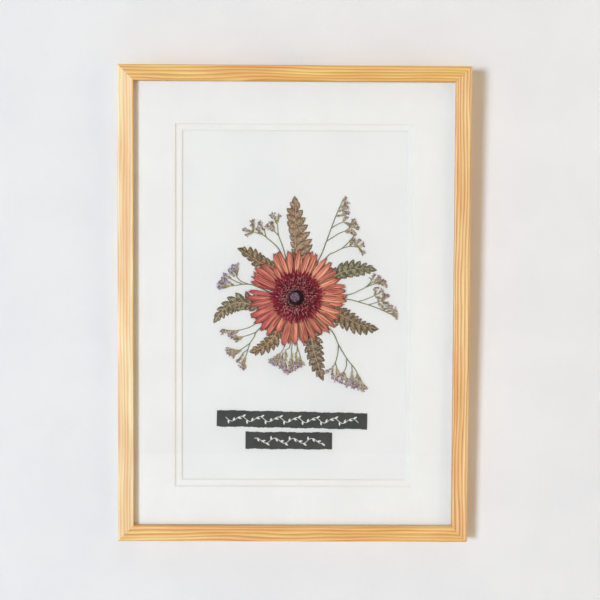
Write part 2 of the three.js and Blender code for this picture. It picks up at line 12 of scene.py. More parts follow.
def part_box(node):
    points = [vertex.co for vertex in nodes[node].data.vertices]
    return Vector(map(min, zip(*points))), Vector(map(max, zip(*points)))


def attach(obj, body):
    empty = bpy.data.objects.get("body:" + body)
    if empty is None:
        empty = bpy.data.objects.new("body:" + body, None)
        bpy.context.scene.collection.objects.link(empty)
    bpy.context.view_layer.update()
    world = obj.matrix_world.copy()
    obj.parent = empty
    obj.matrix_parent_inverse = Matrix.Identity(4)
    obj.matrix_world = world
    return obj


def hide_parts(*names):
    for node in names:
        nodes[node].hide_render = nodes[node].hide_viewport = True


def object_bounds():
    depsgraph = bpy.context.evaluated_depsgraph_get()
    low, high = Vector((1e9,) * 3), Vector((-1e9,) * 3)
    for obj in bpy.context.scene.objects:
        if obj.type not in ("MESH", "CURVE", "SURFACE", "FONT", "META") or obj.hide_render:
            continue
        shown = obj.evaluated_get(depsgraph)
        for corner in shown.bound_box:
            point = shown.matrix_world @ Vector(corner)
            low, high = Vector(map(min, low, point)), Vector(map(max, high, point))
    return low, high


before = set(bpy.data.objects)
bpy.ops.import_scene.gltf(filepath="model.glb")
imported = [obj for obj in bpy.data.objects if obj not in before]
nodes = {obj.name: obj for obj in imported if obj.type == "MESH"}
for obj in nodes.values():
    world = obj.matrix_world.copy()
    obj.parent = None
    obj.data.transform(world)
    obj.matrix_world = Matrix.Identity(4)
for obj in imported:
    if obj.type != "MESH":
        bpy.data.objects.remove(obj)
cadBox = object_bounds()
chance = np.random.default_rng(41)

mm = 0.001
paperLow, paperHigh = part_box("backing_paper")
paperFront = paperLow.y
sheetMiddle = (paperLow + paperHigh) / 2
frontMiddle = Vector((sheetMiddle.x, cadBox[0][1], sheetMiddle.z))
hub = {"x": 1.3, "z": 7.8}  # the flower's centre, from the middle of the paper


# ---- small tools for shapes

def smooth(value, low, high):
    # 0 below low, 1 above high, and 3t² - 2t³ in between
    t = np.clip((value - low) / (high - low), 0, 1)
    return t * t * (3 - 2 * t)


def turns(count):
    # a full turn in even steps
    return np.arange(count) * 2 * np.pi / count


def bell(angle, middle, width):
    # 1 at the middle, falling off on both sides: e to the power of minus the square of distance by width
    return np.exp(-((angle - middle) / width) ** 2)


def thinned(t):
    # 1 along a blade, falling to 0 at its two ends: (4t - 4t²) to the power 0.3
    return np.clip(4 * t * (1 - t), 0, 1) ** 0.3


def part(x, z, lift, along, across, seed, tint=(0, 0, 0)):
    # grids of closed loops: x and z from the flower's centre, lift above the paper, and then what the
    # finishes read at each point: how far along and across the shape it is, a seed, and the tint
    shape = np.broadcast_shapes(np.shape(x), np.shape(z), np.shape(lift))
    shape = (1,) * (3 - len(shape)) + shape
    spread = lambda values: np.stack([np.broadcast_to(value, shape) for value in values], axis=-1)
    place = sheetMiddle.x + (hub["x"] + x) * mm, paperFront - lift * mm, sheetMiddle.z + (hub["z"] + z) * mm
    return spread(place), spread((along, across, seed)), spread(tint)


def revolved(profile, columns, tintAt, asideAt=lambda radius: (0, 0)):
    # a profile of radius and height, turned round the flower's centre or beside it
    radius, height = (np.array(values, float)[:, None] for values in zip(*profile))
    turn, aside = turns(columns), asideAt(radius)
    x, z = aside[0] + radius * np.cos(turn), aside[1] + radius * np.sin(turn)
    return part(x, z, height, 0.0, 0.0, 0.0, tintAt(radius, turn))


def loopQuads(rows, columns):
    # the quads between rows of points, where each row closes on itself
    row, column = np.meshgrid(np.arange(rows - 1), np.arange(columns), indexing="ij")
    after = (column + 1) % columns
    corners = [row * columns + column, row * columns + after]
    corners += [(row + 1) * columns + after, (row + 1) * columns + column]
    return np.stack(corners, axis=-1).reshape(-1, 4)


def makePiece(name, parts, material, replaced):
    # joins the parts in one mesh; where a loop shrinks to a line or a point, its points are welded
    quads, first = [], 0
    for place, _, _ in parts:
        count, rows, columns = place.shape[:3]
        starts = first + np.arange(count) * rows * columns
        quads.append((starts[:, None, None] + loopQuads(rows, columns)[None]).reshape(-1, 4))
        first += count * rows * columns
    points, spans, tints = (np.vstack([values.reshape(-1, 3) for values in kind]) for kind in zip(*parts))
    mesh = bpy.data.meshes.new(name)
    mesh.from_pydata(points, [], np.vstack(quads).tolist())
    for label, values in (("span", spans), ("tint", tints)):
        carried = mesh.attributes.new(label, "FLOAT_VECTOR", "POINT")
        carried.data.foreach_set("vector", values.astype(np.float32).ravel())
    work = bmesh.new()
    work.from_mesh(mesh)
    bmesh.ops.remove_doubles(work, verts=work.verts, dist=1e-6)
    bmesh.ops.recalc_face_normals(work, faces=work.faces)
    work.to_mesh(mesh)
    work.free()
    mesh.shade_smooth()
    mesh.materials.append(material)
    piece = bpy.data.objects.new(name, mesh)
    bpy.context.scene.collection.objects.link(piece)
    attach(piece, "root")
    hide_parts(replaced)


def smoothPath(points, steps=16):
    # a line through the points: each stretch is a cubic that leaves a point along its neighbours' line
    given = np.array(points, float)
    padded = np.vstack([given[:1], given, given[-1:]])
    count = len(given) - 1
    before, start, end, after = (padded[i:i + count, None] for i in range(4))
    t = np.linspace(0, 1, steps, endpoint=False)[None, :, None]
    straight = 2 * start + (end - before) * t
    bent = (2 * before - 5 * start + 4 * end - after) * t ** 2
    bent += (3 * start - before - 3 * end + after) * t ** 3
    line = np.vstack([(0.5 * (straight + bent)).reshape(-1, 2), given[-1:]])
    run = np.concatenate([[0], np.cumsum(np.linalg.norm(np.diff(line, axis=0), axis=1))])
    return {"line": line, "run": run, "length": run[-1]}


def straightPath(x0, z0, x1, z1):
    length = math.hypot(x1 - x0, z1 - z0)
    return {"line": np.array([(x0, z0), (x1, z1)], float), "run": np.array([0, length]), "length": length}


def pathPoint(path, share):
    distance = np.clip(share, 0, 1) * path["length"]
    return tuple(np.interp(distance, path["run"], path["line"][:, k]) for k in (0, 1))


def pathDirection(path, share, step=0.01):
    x0, z0 = pathPoint(path, share - step)
    x1, z1 = pathPoint(path, share + step)
    length = np.hypot(x1 - x0, z1 - z0)
    return (x1 - x0) / length, (z1 - z0) / length


def beside(path, share, across):
    # a point on the path, moved across it to the left
    x, z = pathPoint(path, share)
    dx, dz = pathDirection(path, share)
    return x - dz * across, z + dx * across


def tube(path, fromRadius, toRadius, lift, rows, columns, seed, tint=(0, 0, 0)):
    # a round stem along a path, its radius changing evenly, its two ends drawn to a point
    share = np.linspace(0, 1, rows)[:, None]
    turn = turns(columns)
    radius = (fromRadius + (toRadius - fromRadius) * share) * ((share > 0) & (share < 1))
    x, z = beside(path, share, radius * np.cos(turn))
    return part(x, z, lift + radius * np.sin(turn), share, np.cos(turn), seed, tint)


def sheetLoop(columns):
    # the closed section of a thin sheet: across goes 1 to -1 over the front, and back under it
    return np.cos(turns(columns)), np.sin(turns(columns))


def strapShape(rows, columns, point):
    # a narrow strap: along runs 0 to 1, its half width swells by a sine and ends in a point or a blunt tip
    t = np.linspace(0, 1, rows)[:, None]
    v, side = sheetLoop(columns)
    half = (0.35 + 0.65 * np.sin(np.pi * np.clip(t * 0.9 + 0.05, 0, 1))) * (1 - point * smooth(t, 0.7, 1.0))
    ends = (t > 0) & (t < 1)
    return {"along": t + 0 * v, "across": half * v, "up": side * ends * 0.5, "v": v + 0 * t}


def coneShape(rows, columns, radii, spots):
    # a round shape along a line: radii at the given spots, closed where a radius is 0
    turn = turns(columns)
    radius = np.interp(np.linspace(0, 1, rows), spots, radii)[:, None]
    along, v = np.broadcast_arrays(np.linspace(0, 1, rows)[:, None], np.cos(turn))
    return {"along": along, "across": radius * v, "up": radius * np.sin(turn), "v": v}


def lay(shape, x, z, angle, length, width, bend, lift, rise, thickness, seed, tint):
    # copies of a shape on the paper: each is scaled, bent by along squared, turned and lifted
    each = lambda value: np.broadcast_to(np.asarray(value, float), np.shape(x))[:, None, None]
    along, v = shape["along"][None], shape["v"][None]
    ahead, across = along * each(length), shape["across"][None] * each(width) + each(bend) * along ** 2
    cos, sin = np.cos(each(angle)), np.sin(each(angle))
    px, pz = each(x) + ahead * cos - across * sin, each(z) + ahead * sin + across * cos
    up = each(lift) + each(rise) * np.sin(np.pi / 2 * along) + shape["up"][None] * each(thickness)
    return part(px, pz, up, along, v, each(seed), [each(value) for value in tint])


# ---- small tools for finishes

def srgb(red, green, blue):
    # a display colour as the linear colour that a shader takes
    shares = np.array([red, green, blue]) / 255
    linear = np.where(shares <= 0.04045, shares / 12.92, ((shares + 0.055) / 1.055) ** 2.4)
    return (*map(float, linear), 1.0)


class Field:
    # what a shader works out at each point: a number, a vector or a colour. Sums of fields are fields.
    def __init__(self, socket):
        self.socket = socket

    def __add__(self, other):
        return maths("ADD", self, other)

    def __sub__(self, other):
        return maths("SUBTRACT", self, other)

    def __mul__(self, other):
        return maths("MULTIPLY", self, other)

    def __rtruediv__(self, other):
        return maths("DIVIDE", other, self)

    def __abs__(self):
        return maths("ABSOLUTE", self)

    def ramp(self, low, high, outLow=0.0, outHigh=1.0):
        # outLow at low and outHigh at high, with a smooth step in between
        inputs = {"Value": self, "From Min": low, "From Max": high, "To Min": outLow, "To Max": outHigh}
        return derived("MapRange", inputs, interpolation_type="SMOOTHSTEP")

    def under(self, *layers):
        # colours laid over this one in turn, each as far as its mask says
        base = self
        for mask, colour in layers:
            base = mixed(mask, base, colour)
        return base


def fill(made, inputs):
    # links a node's inputs to fields and sets them to plain values
    for key, value in inputs.items():
        if isinstance(value, Field):
            made.id_data.links.new(value.socket, made.inputs[key])
        else:
            made.inputs[key].default_value = value


def node(tree, kind, inputs=None, output=0, **properties):
    # a new node, with one of its outputs as a field
    made = tree.nodes.new("ShaderNode" + kind)
    for key, value in properties.items():
        setattr(made, key, value)
    fill(made, inputs or {})
    return Field(made.outputs[output])


def derived(kind, inputs, output=0, **properties):
    # a new node in the tree of the fields that it takes
    tree = next(value.socket.id_data for value in inputs.values() if isinstance(value, Field))
    return node(tree, kind, inputs, output, **properties)


def maths(operation, first, second=0.0):
    return derived("Math", {0: first, 1: second}, operation=operation)


def mixed(factor, first, second, blend="MIX"):
    # plain colours are given as display colours
    first, second = (value if isinstance(value, Field) else srgb(*value) for value in (first, second))
    return derived("Mix", {0: factor, 6: first, 7: second}, 2, data_type="RGBA", blend_type=blend)


def noise(vector, scale, detail, roughness=0.5):
    return derived("TexNoise", {"Vector": vector, "Scale": scale, "Detail": detail, "Roughness": roughness})


def drawnNoise(place, scale, detail, roughness=0.5):
    # noise with a scale of its own along each axis
    return noise(derived("Mapping", {"Vector": place, "Scale": scale}), 1.0, detail, roughness)


def split(vector):
    return [Field(output) for output in derived("SeparateXYZ", {0: vector}).socket.node.outputs]


def objectPlace(tree):
    # Object coordinates in millimetres
    place = node(tree, "TexCoord", output="Object")
    return derived("Mapping", {"Vector": place, "Scale": (1 / mm, 1 / mm, 1 / mm)})


def readings(tree):
    # what the mesh carries at each point: the span, the span's three numbers and the tint's
    span, tint = (node(tree, "Attribute", None, "Vector", attribute_name=name) for name in ("span", "tint"))
    return span, split(span), split(tint)


def nodeGroup(name, inputs, build):
    # a group of nodes with named sockets. An input is a kind of socket or a number to start from; build
    # takes the inputs as fields and gives the outputs by name. What is returned uses the group.
    tree = bpy.data.node_groups.new(name, "ShaderNodeTree")
    for label, value in inputs.items():
        kind = value if isinstance(value, str) else "Float"
        socket = tree.interface.new_socket(label, in_out="INPUT", socket_type="NodeSocket" + kind)
        if kind == "Float":
            socket.default_value = value
    entry = tree.nodes.new("NodeGroupInput")
    outputs = build(*(Field(entry.outputs[label]) for label in inputs))
    for label in outputs:
        kind = "Color" if label == "Color" else "Float"
        tree.interface.new_socket(label, in_out="OUTPUT", socket_type="NodeSocket" + kind)
    fill(tree.nodes.new("NodeGroupOutput"), outputs)

    def use(*given):
        used = given[0].socket.id_data.nodes.new("ShaderNodeGroup")
        used.node_tree = tree
        fill(used, dict(zip(inputs, given)))
        return [Field(output) for output in used.outputs]

    return use


def newMaterial(name, **settings):
    # a material whose Principled shader has the given plain values, and its tree
    material = bpy.data.materials.new(name)
    material.use_nodes = True
    shader = material.node_tree.nodes["Principled BSDF"]
    fill(shader, {key.replace("_", " "): value for key, value in settings.items()})
    return material, material.node_tree


def dress(material, base, height=None, strength=0.0, depth=0.0, roughness=None):
    # gives the shader its colour, the bump of a height over a depth, and a roughness that varies
    inputs = {"Base Color": base}
    if height:
        bump = {"Height": height, "Strength": strength, "Distance": depth * mm}
        inputs["Normal"] = derived("Bump", bump)
    if roughness:
        inputs["Roughness"] = roughness
    fill(material.node_tree.nodes["Principled BSDF"], inputs)
    return material


def clearWhere(material, share, tone=(1, 1, 1, 1)):
    # light goes straight through the surface where the share is 1
    tree = material.node_tree
    shader = Field(tree.nodes["Principled BSDF"].outputs[0])
    clear = node(tree, "BsdfTransparent", {"Color": tone})
    mix = node(tree, "MixShader", {0: share, 1: shader, 2: clear})
    fill(tree.nodes["Material Output"], {"Surface": mix})
    return material


# ---- effects shared by the finishes

def mottleNodes(place, size):
    # Broad is a slow change over about Size millimetres, and Fine a grain eight times finer
    scale = 1.0 / size
    return {"Broad": noise(place, scale, 3), "Fine": noise(place, scale * 8.0, 4, 0.6)}


def toothNodes(place, size):
    # the height of a board's or a paper's tooth: fine fibres of about Size millimetres, lying all ways
    scale = 1.0 / size
    cells = derived("TexVoronoi", {"Vector": place, "Scale": scale * 0.6}, "Distance")
    return {"Height": noise(place, scale, 4, 0.65) + cells * 0.5}


def fibreNodes(span, count, waver):
    # streaks that run along a petal, a leaf or a stem: Count of them across it, Waver along it
    along, across, seed = split(span)

    def streaks(countTimes, waverTimes):
        place = {"X": across * (count * countTimes), "Y": along * (waver * waverTimes), "Z": seed * 37.0}
        return noise(derived("CombineXYZ", place), 1.0, 2)

    return {"Streak": streaks(0.5, 1.0), "Thread": streaks(2.4, 1.6)}


def pineNodes(place, early, late):
    # Place is along, depth and across in millimetres. Rings are slow waves across the board that a low
    # noise bends; each ends in a thin dark line of late wood. Fibres are noise drawn out along it.
    _, depth, across = split(place)
    bend = drawnNoise(place, (0.006, 0.05, 0.05), 2)
    sway = drawnNoise(place, (0.022, 0.12, 0.12), 1)
    ring = maths("FRACT", (across + depth * 0.6 + bend * 11.0 + sway * 1.2) * 0.3)
    lateWood = ring.ramp(0.15, 0.82) * ring.ramp(0.99, 0.86)
    fibre = drawnNoise(place, (0.03, 3.0, 3.0), 3, 0.6)
    fine = drawnNoise(place, (0.012, 0.9, 0.9), 2)
    duct = drawnNoise(place, (0.12, 2.6, 2.6), 0).ramp(0.74, 0.8)
    share = lateWood * fine.ramp(0.3, 0.6, 0.55) + fibre.ramp(0.35, 0.7) * 0.22 + duct * 0.35
    colour = mixed(share, early, late)
    darker = mixed(1.0, colour, (244, 226, 212), "MULTIPLY")
    colour = mixed(drawnNoise(place, (0.012, 0.08, 0.08), 1).ramp(0.3, 0.7), darker, colour)
    rosy = mixed(1.0, colour, (255, 238, 232), "MULTIPLY")
    streak = drawnNoise(place, (0.004, 0.35, 0.35), 1).ramp(0.42, 0.62)
    return {
        "Color": mixed(streak, colour, rosy),
        "Roughness": share.ramp(0.0, 1.0, 0.42, 0.56),
        "Height": lateWood * 0.4 - fibre * 0.6,
    }


def veinNodes(span, count):
    # masks on a leaflet: its middle vein, the side veins that slant forward from it, and its margin
    along, across, _ = split(span)
    away = abs(across)
    wave = abs(maths("FRACT", (along - away * 0.32) * count) - 0.5)
    margin = maths("MAXIMUM", away.ramp(0.56, 0.88), along.ramp(0.72, 1.0))
    return {"Middle": away.ramp(0.13, 0.03), "Side": wave.ramp(0.2, 0.04), "Margin": margin}


mottle = nodeGroup("mottle", {"Place": "Vector", "Size": 20.0}, mottleNodes)
paperTooth = nodeGroup("paperTooth", {"Place": "Vector", "Size": 0.5}, toothNodes)
fibres = nodeGroup("fibres", {"Span": "Vector", "Count": 6.0, "Waver": 2.0}, fibreNodes)
pineGrain = nodeGroup("pineGrain", {"Place": "Vector", "Early": "Color", "Late": "Color"}, pineNodes)
leafVeins = nodeGroup("leafVeins", {"Span": "Vector", "Count": 7.0}, veinNodes)


def clouded(place, size, first, second):
    # two colours in broad clouds, and the grain that goes with them
    broad, fine = mottle(place, size)
    return mixed(broad.ramp(0.3, 0.7), first, second), fine


def matt(name, roughness, size, first, second):
    # a matt material in two clouded colours: the material, its place, its colour and its grain
    material, tree = newMaterial(name, Roughness=roughness)
    place = objectPlace(tree)
    return (material, place, *clouded(place, size, first, second))


print("shared effects made")


# ---- the frame: CAD nodes with finishes

# each rail's turn about Y, which brings its grain along X, where its wood starts, and its two colours
rails = {
    "top": {"turn": 0, "start": (0, 0, 0), "early": (250, 219, 146), "late": (222, 176, 86)},
    "bottom": {"turn": 0, "start": (210, 3, 31), "early": (255, 229, 160), "late": (224, 172, 90)},
    # painted light: the left rail's colours are the lightest of the four, for the window's light falling on
    # that side
    "left": {"turn": 90, "start": (57, 9, 12), "early": (255, 246, 208), "late": (250, 217, 155)},
    "right": {"turn": 90, "start": (330, 4, 71), "early": (255, 227, 173), "late": (219, 165, 96)},
}


def pineMaterial(side):
    rail = rails[side]
    material, tree = newMaterial("pine_" + side, Coat_Weight=0.12, Coat_Roughness=0.35)
    turn = (0, math.radians(rail["turn"]), 0)
    place = derived("Mapping", {"Vector": objectPlace(tree), "Rotation": turn, "Location": rail["start"]})
    colour, roughness, height = pineGrain(place, srgb(*rail["early"]), srgb(*rail["late"]))
    return dress(material, colour, height, 0.5, 0.12, roughness)


def glassMaterial():
    # clear float glass, a little green in its thickness; lamps shine through it
    material, tree = newMaterial("clear_glass", Roughness=0.0, IOR=1.5, Transmission_Weight=1.0)
    fill(tree.nodes["Principled BSDF"], {"Base Color": (0.985, 0.995, 0.99, 1)})
    return clearWhere(material, node(tree, "LightPath", output="Is Shadow Ray"), (0.97, 0.98, 0.975, 1))


def matMaterial(name, face, core):
    # matt board with a fine tooth; the cut bevel shows the board's core
    darker = lambda steps: [value - steps for value in face]
    material, place, base, fine = matt(name, 0.92, 45.0, face, darker(4))
    bevel = abs(split(node(material.node_tree, "TexCoord", output="Normal"))[1]).ramp(0.95, 0.8)
    base = base.under((fine.ramp(0.3, 0.75) * 0.5, darker(7)), (bevel, core))
    return dress(material, base, paperTooth(place, 0.55)[0], 0.25, 0.08)


def paperMaterial():
    material, place, base, _ = matt("white_paper", 0.88, 70.0, (243, 241, 242), (239, 237, 239))
    return dress(material, base, paperTooth(place, 0.8)[0], 0.3, 0.06)


def hardboardMaterial():
    # pressed brown fibres, darker where they clump
    material, place, base, fine = matt("hardboard", 0.72, 9.0, (134, 100, 66), (112, 80, 50))
    hairs = drawnNoise(place, (1.1, 2.2, 3.96), 5, 0.7)
    base = base.under((hairs.ramp(0.45, 0.7), (158, 124, 86)), (fine.ramp(0.6, 0.75), (84, 58, 36)))
    return dress(material, base, hairs, 0.4, 0.1)


def metalMaterial(name, base, worn, grainScale):
    # rolled metal: fine lines from the rolls, with duller patches
    material, tree = newMaterial(name, Metallic=1.0)
    place = objectPlace(tree)
    lines = drawnNoise(place, grainScale, 3)
    colour = mixed(mottle(place, 3.0)[0].ramp(0.4, 0.7), base, worn)
    return dress(material, colour, lines, 0.2, 0.02, lines.ramp(0.2, 0.8, 0.28, 0.48))


def finishFrame():
    steel = metalMaterial("bright_steel", (196, 198, 200), (160, 160, 158), (0.3, 4, 4))
    finishes = {
        "glass_pane": glassMaterial(),
        "upper_mat": matMaterial("upper_mat_board", (246, 243, 243), (242, 237, 232)),
        "lower_mat": matMaterial("lower_mat_board", (246, 243, 243), (238, 235, 231)),
        "backing_paper": paperMaterial(),
        "backing_board": hardboardMaterial(),
        "sawtooth_hanger": metalMaterial("brassed_steel", (206, 178, 108), (168, 140, 84), (0.3, 5, 5)),
    }
    finishes |= {"frame_rail_" + side: pineMaterial(side) for side in rails}
    finishes |= {name: steel for name in nodes if name.startswith(("retaining_point_", "hanger_nail_"))}
    for name, finish in finishes.items():
        materials = nodes[name].data.materials
        materials.clear()
        materials.append(finish)


finishFrame()
print("frame finished")


# ---- the gerbera's long petals

petalSettings = {
    "start": 17.0,  # radius where a petal leaves the head, under the florets
    "halfWidth": 3.0,
    "baseShare": 0.42,
    "tipShare": 0.54,
    "thickness": 0.06,
    "pleat": 0.16,
    "pleats": 1.25,
    "lifts": (1.15, 1.5),
    "lowest": 0.86,
    "underLift": 0.93,
    "underGap": 12.8,  # neighbours closer than this, in degrees, have a petal under them
    "underReach": (0.84, 0.98),  # of the shorter neighbour's reach
    "underWidth": 0.95,
    # painted shade: the petals underneath are darkened, so the gaps between the long petals read as shadow
    "underShade": 0.5,
    # painted shade: the petals round this direction are darkened
    "shade": {"angle": 298, "spread": 20, "dark": 0.32},  # the petals that lie darkest
    "crimson": [(0.9, 168, 34), (0.5, 222, 22)],  # the redder petals: how much, and round what direction
    "rows": 26,
    "columns": 28,
}

# between what limits each petal's own numbers lie
petalRanges = {
    "width": (0.8, 1.1), "tip": (0.45, 1.35), "phase": (0, 6), "whole": (0, 1),
    "teeth": (2.4, 4.2), "toothShift": (-1.2, 1.2), "toothDepth": (1.0, 3.8), "uneven": (-1.5, 1.5),
    "bend": (-2.6, 2.6), "sway": (-0.8, 0.8),  # degrees
    "wave": (0.02, 0.12), "waves": (0.5, 1.1), "cup": (-0.12, 0.3), "arch": (0.0, 0.35), "curl": (-0.1, 0.3),
    "crimson": (-0.15, 0.22),
}

# each long petal, counter-clockwise from the right: its direction in degrees and its tip's radius
rayPetals = [
    (0.5, 54), (7.7, 53), (15.4, 53.5), (21.5, 50), (32.3, 51.5), (42.4, 51.3), (51.7, 52), (62, 49.4),
    (68.5, 51), (74, 49), (82, 44.8), (87, 49.8), (97.6, 48), (108.2, 49.8), (117.4, 50.5), (125.2, 38),
    (133.2, 49.4), (142, 52.3), (148.8, 50.5), (155.4, 50.3), (159.6, 48.5), (173.8, 48.6), (183, 49.8),
    (189.3, 48.6), (196.5, 41), (204.9, 49.6), (213.5, 50.8), (221.7, 50.2), (232.6, 50), (241.6, 42.6),
    (252.2, 50.4), (258, 52), (267.9, 50.3), (272.2, 50.6), (280.4, 48.3), (284.6, 49), (294.3, 50.2),
    (306.2, 46.9), (312.4, 52.2), (322.3, 52), (334.6, 51.5), (340, 52.6), (351.1, 50.8), (356.8, 53.6),
]


def petals(angles, reaches, lifts, widthShare, dark):
    # t runs from the head to the tip and v across. The half width grows from its base share to full at
    # t = 0.55, narrows from 0.7 on and swells and shrinks by a twentieth; the tip's edge is cut back by a
    # triangle wave of v; the height is a slow wave along t plus pleats, a cosine across, and a cup that
    # grows with v squared.
    s, count = petalSettings, len(angles)
    each = lambda values: values[:, None, None]
    own = lambda key: each(chance.uniform(*petalRanges[key], count))
    t = np.linspace(0, 1, s["rows"])[None, :, None]
    v, side = (values[None, None] for values in sheetLoop(s["columns"]))
    half = s["halfWidth"] * widthShare * own("width")
    grown = s["baseShare"] + (1 - s["baseShare"]) * smooth(t, 0, 0.55)
    narrowed = 1 - (1 - s["tipShare"] * own("tip")) * smooth(t, 0.7, 1.0) ** 1.4
    half = half * grown * narrowed * (1 + 0.05 * np.sin(9 * t + own("phase")))
    toothed = np.arccos(np.cos(own("teeth") * np.pi * v + own("toothShift"))) / np.pi
    teeth = own("toothDepth") * toothed * smooth(t, 0.8, 1.0)
    uneven = own("uneven") * v * smooth(t, 0.7, 1.0)
    radius = s["start"] + (each(reaches) - s["start"]) * t - teeth - uneven
    bend = np.radians(own("bend")) * t ** 2 + np.radians(own("sway")) * np.sin(np.pi * t)
    turn = np.radians(each(angles)) + bend
    across = half * v
    x = radius * np.cos(turn) - across * np.sin(turn)
    z = radius * np.sin(turn) + across * np.cos(turn)
    wave = own("wave") * np.sin(2 * np.pi * (own("waves") * t + own("whole")))
    pleat = s["pleat"] * np.cos(2 * np.pi * s["pleats"] * v + own("phase"))
    cup = own("cup") * v ** 2
    arch = own("arch") * np.sin(np.pi * t)
    curl = own("curl") * smooth(t, 0.78, 1.0)
    rise = each(lifts) + wave + arch + curl + (pleat + cup + s["thickness"] * side) * thinned(t)
    seed = own("whole")
    crimson = sum(most * bell(each(angles), middle, width) for most, middle, width in s["crimson"])
    crimson = np.clip(crimson + own("crimson"), 0, 1)
    return part(x, z, np.maximum(rise, s["lowest"]), t, v, seed, (crimson, dark, own("whole")))


def petalMaterial():
    # apricot near the head to coral and brick red, by pairs of a warm and a crimson petal's colours; with a
    # painted highlight down the middle fold, and painted shade on the flanks, along the grooves, at the edges
    # and on the petals underneath
    material, tree = newMaterial("coral_petal", Roughness=0.68, Specular_IOR_Level=0.35)
    span, (along, across, seed), (crimson, dark, own) = readings(tree)
    streak, thread = fibres(span, 5.5, 1.2)
    tone = lambda warm, deep: mixed(crimson, warm, deep)
    away = abs(across - seed.ramp(0.0, 1.0, -0.3, 0.3))
    # painted highlight: a lighter band down the petal's middle fold, where the light catches it
    foldHighlight = away.ramp(0.36, 0.06) * along.ramp(1.0, 0.6) * streak.ramp(0.3, 0.6, 0.35)
    # painted shade: darker lines along the petal where its grooves lie in shadow
    furrowShade = streak.ramp(0.48, 0.42, 0.0, 0.76) * along.ramp(0.1, 0.6, 0.35)
    # painted shade: the petal's sides are darkened where they curve away from the light
    flankShade = away.ramp(0.42, 0.8) * streak.ramp(0.65, 0.35, 0.4)
    tip = along.ramp(0.68, 1.0) * streak.ramp(0.3, 0.6, 0.4)
    # painted shadow: the petal's edges and tip are darkened so the gaps between petals read as shadow
    margin = maths("MAXIMUM", abs(across).ramp(0.74, 0.93), along.ramp(0.95, 1.0))
    base = mixed(own, tone((248, 160, 137), (220, 106, 106)), tone((240, 136, 114), (206, 86, 90))).under(
        (along.ramp(0.5, 0.1, 0.0, 0.8), tone((246, 171, 133), (220, 127, 107))),
        (foldHighlight * 0.5, tone((252, 182, 144), (228, 132, 115))),
        (streak.ramp(0.52, 0.6, 0.0, 0.9), tone((254, 188, 149), (228, 127, 112))),
        (furrowShade, tone((160, 78, 62), (140, 48, 54))),
        (flankShade * 0.34, tone((172, 82, 62), (140, 48, 52))),
        (thread.ramp(0.5, 0.58, 0.0, 0.45), tone((152, 72, 56), (122, 42, 48))),
        (tip * 0.7, tone((176, 78, 64), (158, 46, 60))),
        (margin * 0.85, tone((108, 48, 36), (100, 30, 38))),
        # painted shade: the petals underneath, the shaded petals and the head under them are darkened
        (dark * 0.9, (72, 32, 24)),
    )
    return dress(material, base, thread * 0.7 + streak, 0.8, 0.3)


# the flat green-brown head that the petals grow from, darkened all over as painted shade under the petals:
# its radius and height
headProfile = [(0, 0.12), (12, 0.12), (19.5, 0.16), (21.5, 0.5), (22, 0.95), (20, 1.25), (12, 1.5), (0, 1.55)]


def makeRayPetals():
    s, shade = petalSettings, petalSettings["shade"]
    angles, reaches = np.array(rayPetals, float).T
    lifts = np.where(np.arange(len(angles)) % 2, s["lifts"][1], s["lifts"][0])
    gaps = np.diff(np.append(angles, angles[0] + 360))
    filled = gaps < s["underGap"]
    underAngles = (angles + gaps / 2)[filled]
    shorter = np.minimum(reaches, np.roll(reaches, -1))[filled]
    underReaches = shorter * chance.uniform(*s["underReach"], filled.sum())
    underLifts = np.full(len(underAngles), s["underLift"])
    shaded = shade["dark"] * bell(angles, shade["angle"], shade["spread"])[:, None, None]
    parts = [
        petals(angles, reaches, lifts, 1.0, shaded),
        petals(underAngles, underReaches, underLifts, s["underWidth"], s["underShade"]),
        revolved(headProfile, 48, lambda radius, turn: (1, 1, 0.5)),
    ]
    makePiece("ray_petals", parts, petalMaterial(), "gerbera_ray_petals")


makeRayPetals()
print("long petals made")


# ---- the gerbera's inner florets and its disc

floretSettings = {
    "scatter": 0.6,  # of a floret's foot along its ring, as a share of their spacing
    "lean": 0.24,
    "bend": 0.7,
    "rise": (-0.15, 0.3),
    "thickness": 0.22,
    "aside": (1.8, 0.5),  # the outer rings' centre from the disc's
}

# rings of strap florets from the outside in: how many, and between what limits their own numbers lie
floretRings = [
    {
        "count": 160, "foot": (19.6, 22.8), "length": (4.4, 8.4), "width": (0.42, 0.7),
        "lift": (2.1, 2.3), "pale": (0.0, 0.46),
    },
    {
        "count": 150, "foot": (18.0, 21.4), "length": (4.4, 7.2), "width": (0.4, 0.66),
        "lift": (2.25, 2.4), "pale": (0.0, 0.52),
    },
    {
        "count": 140, "foot": (14.4, 18.4), "length": (3.0, 5.0), "width": (0.36, 0.58),
        "lift": (2.35, 2.5), "pale": (0.0, 0.9),
    },
    {
        "count": 230, "foot": (9.2, 15.2), "length": (1.4, 2.6), "width": (0.36, 0.56),
        "lift": (2.4, 2.65), "pale": (0.25, 1.25),
    },
]
fringeProfile = [(9.4, 1.9), (10, 1.7), (24, 1.7), (24.4, 1.8), (23, 2), (13, 2.3), (9.6, 2.3), (9.4, 1.9)]


def fringeShift(radius):
    # how far a ring's centre lies from the disc's: nothing at a radius of 12, all of it from 18 on
    share = smooth(radius, 12, 18)
    return [aside * share for aside in floretSettings["aside"]]


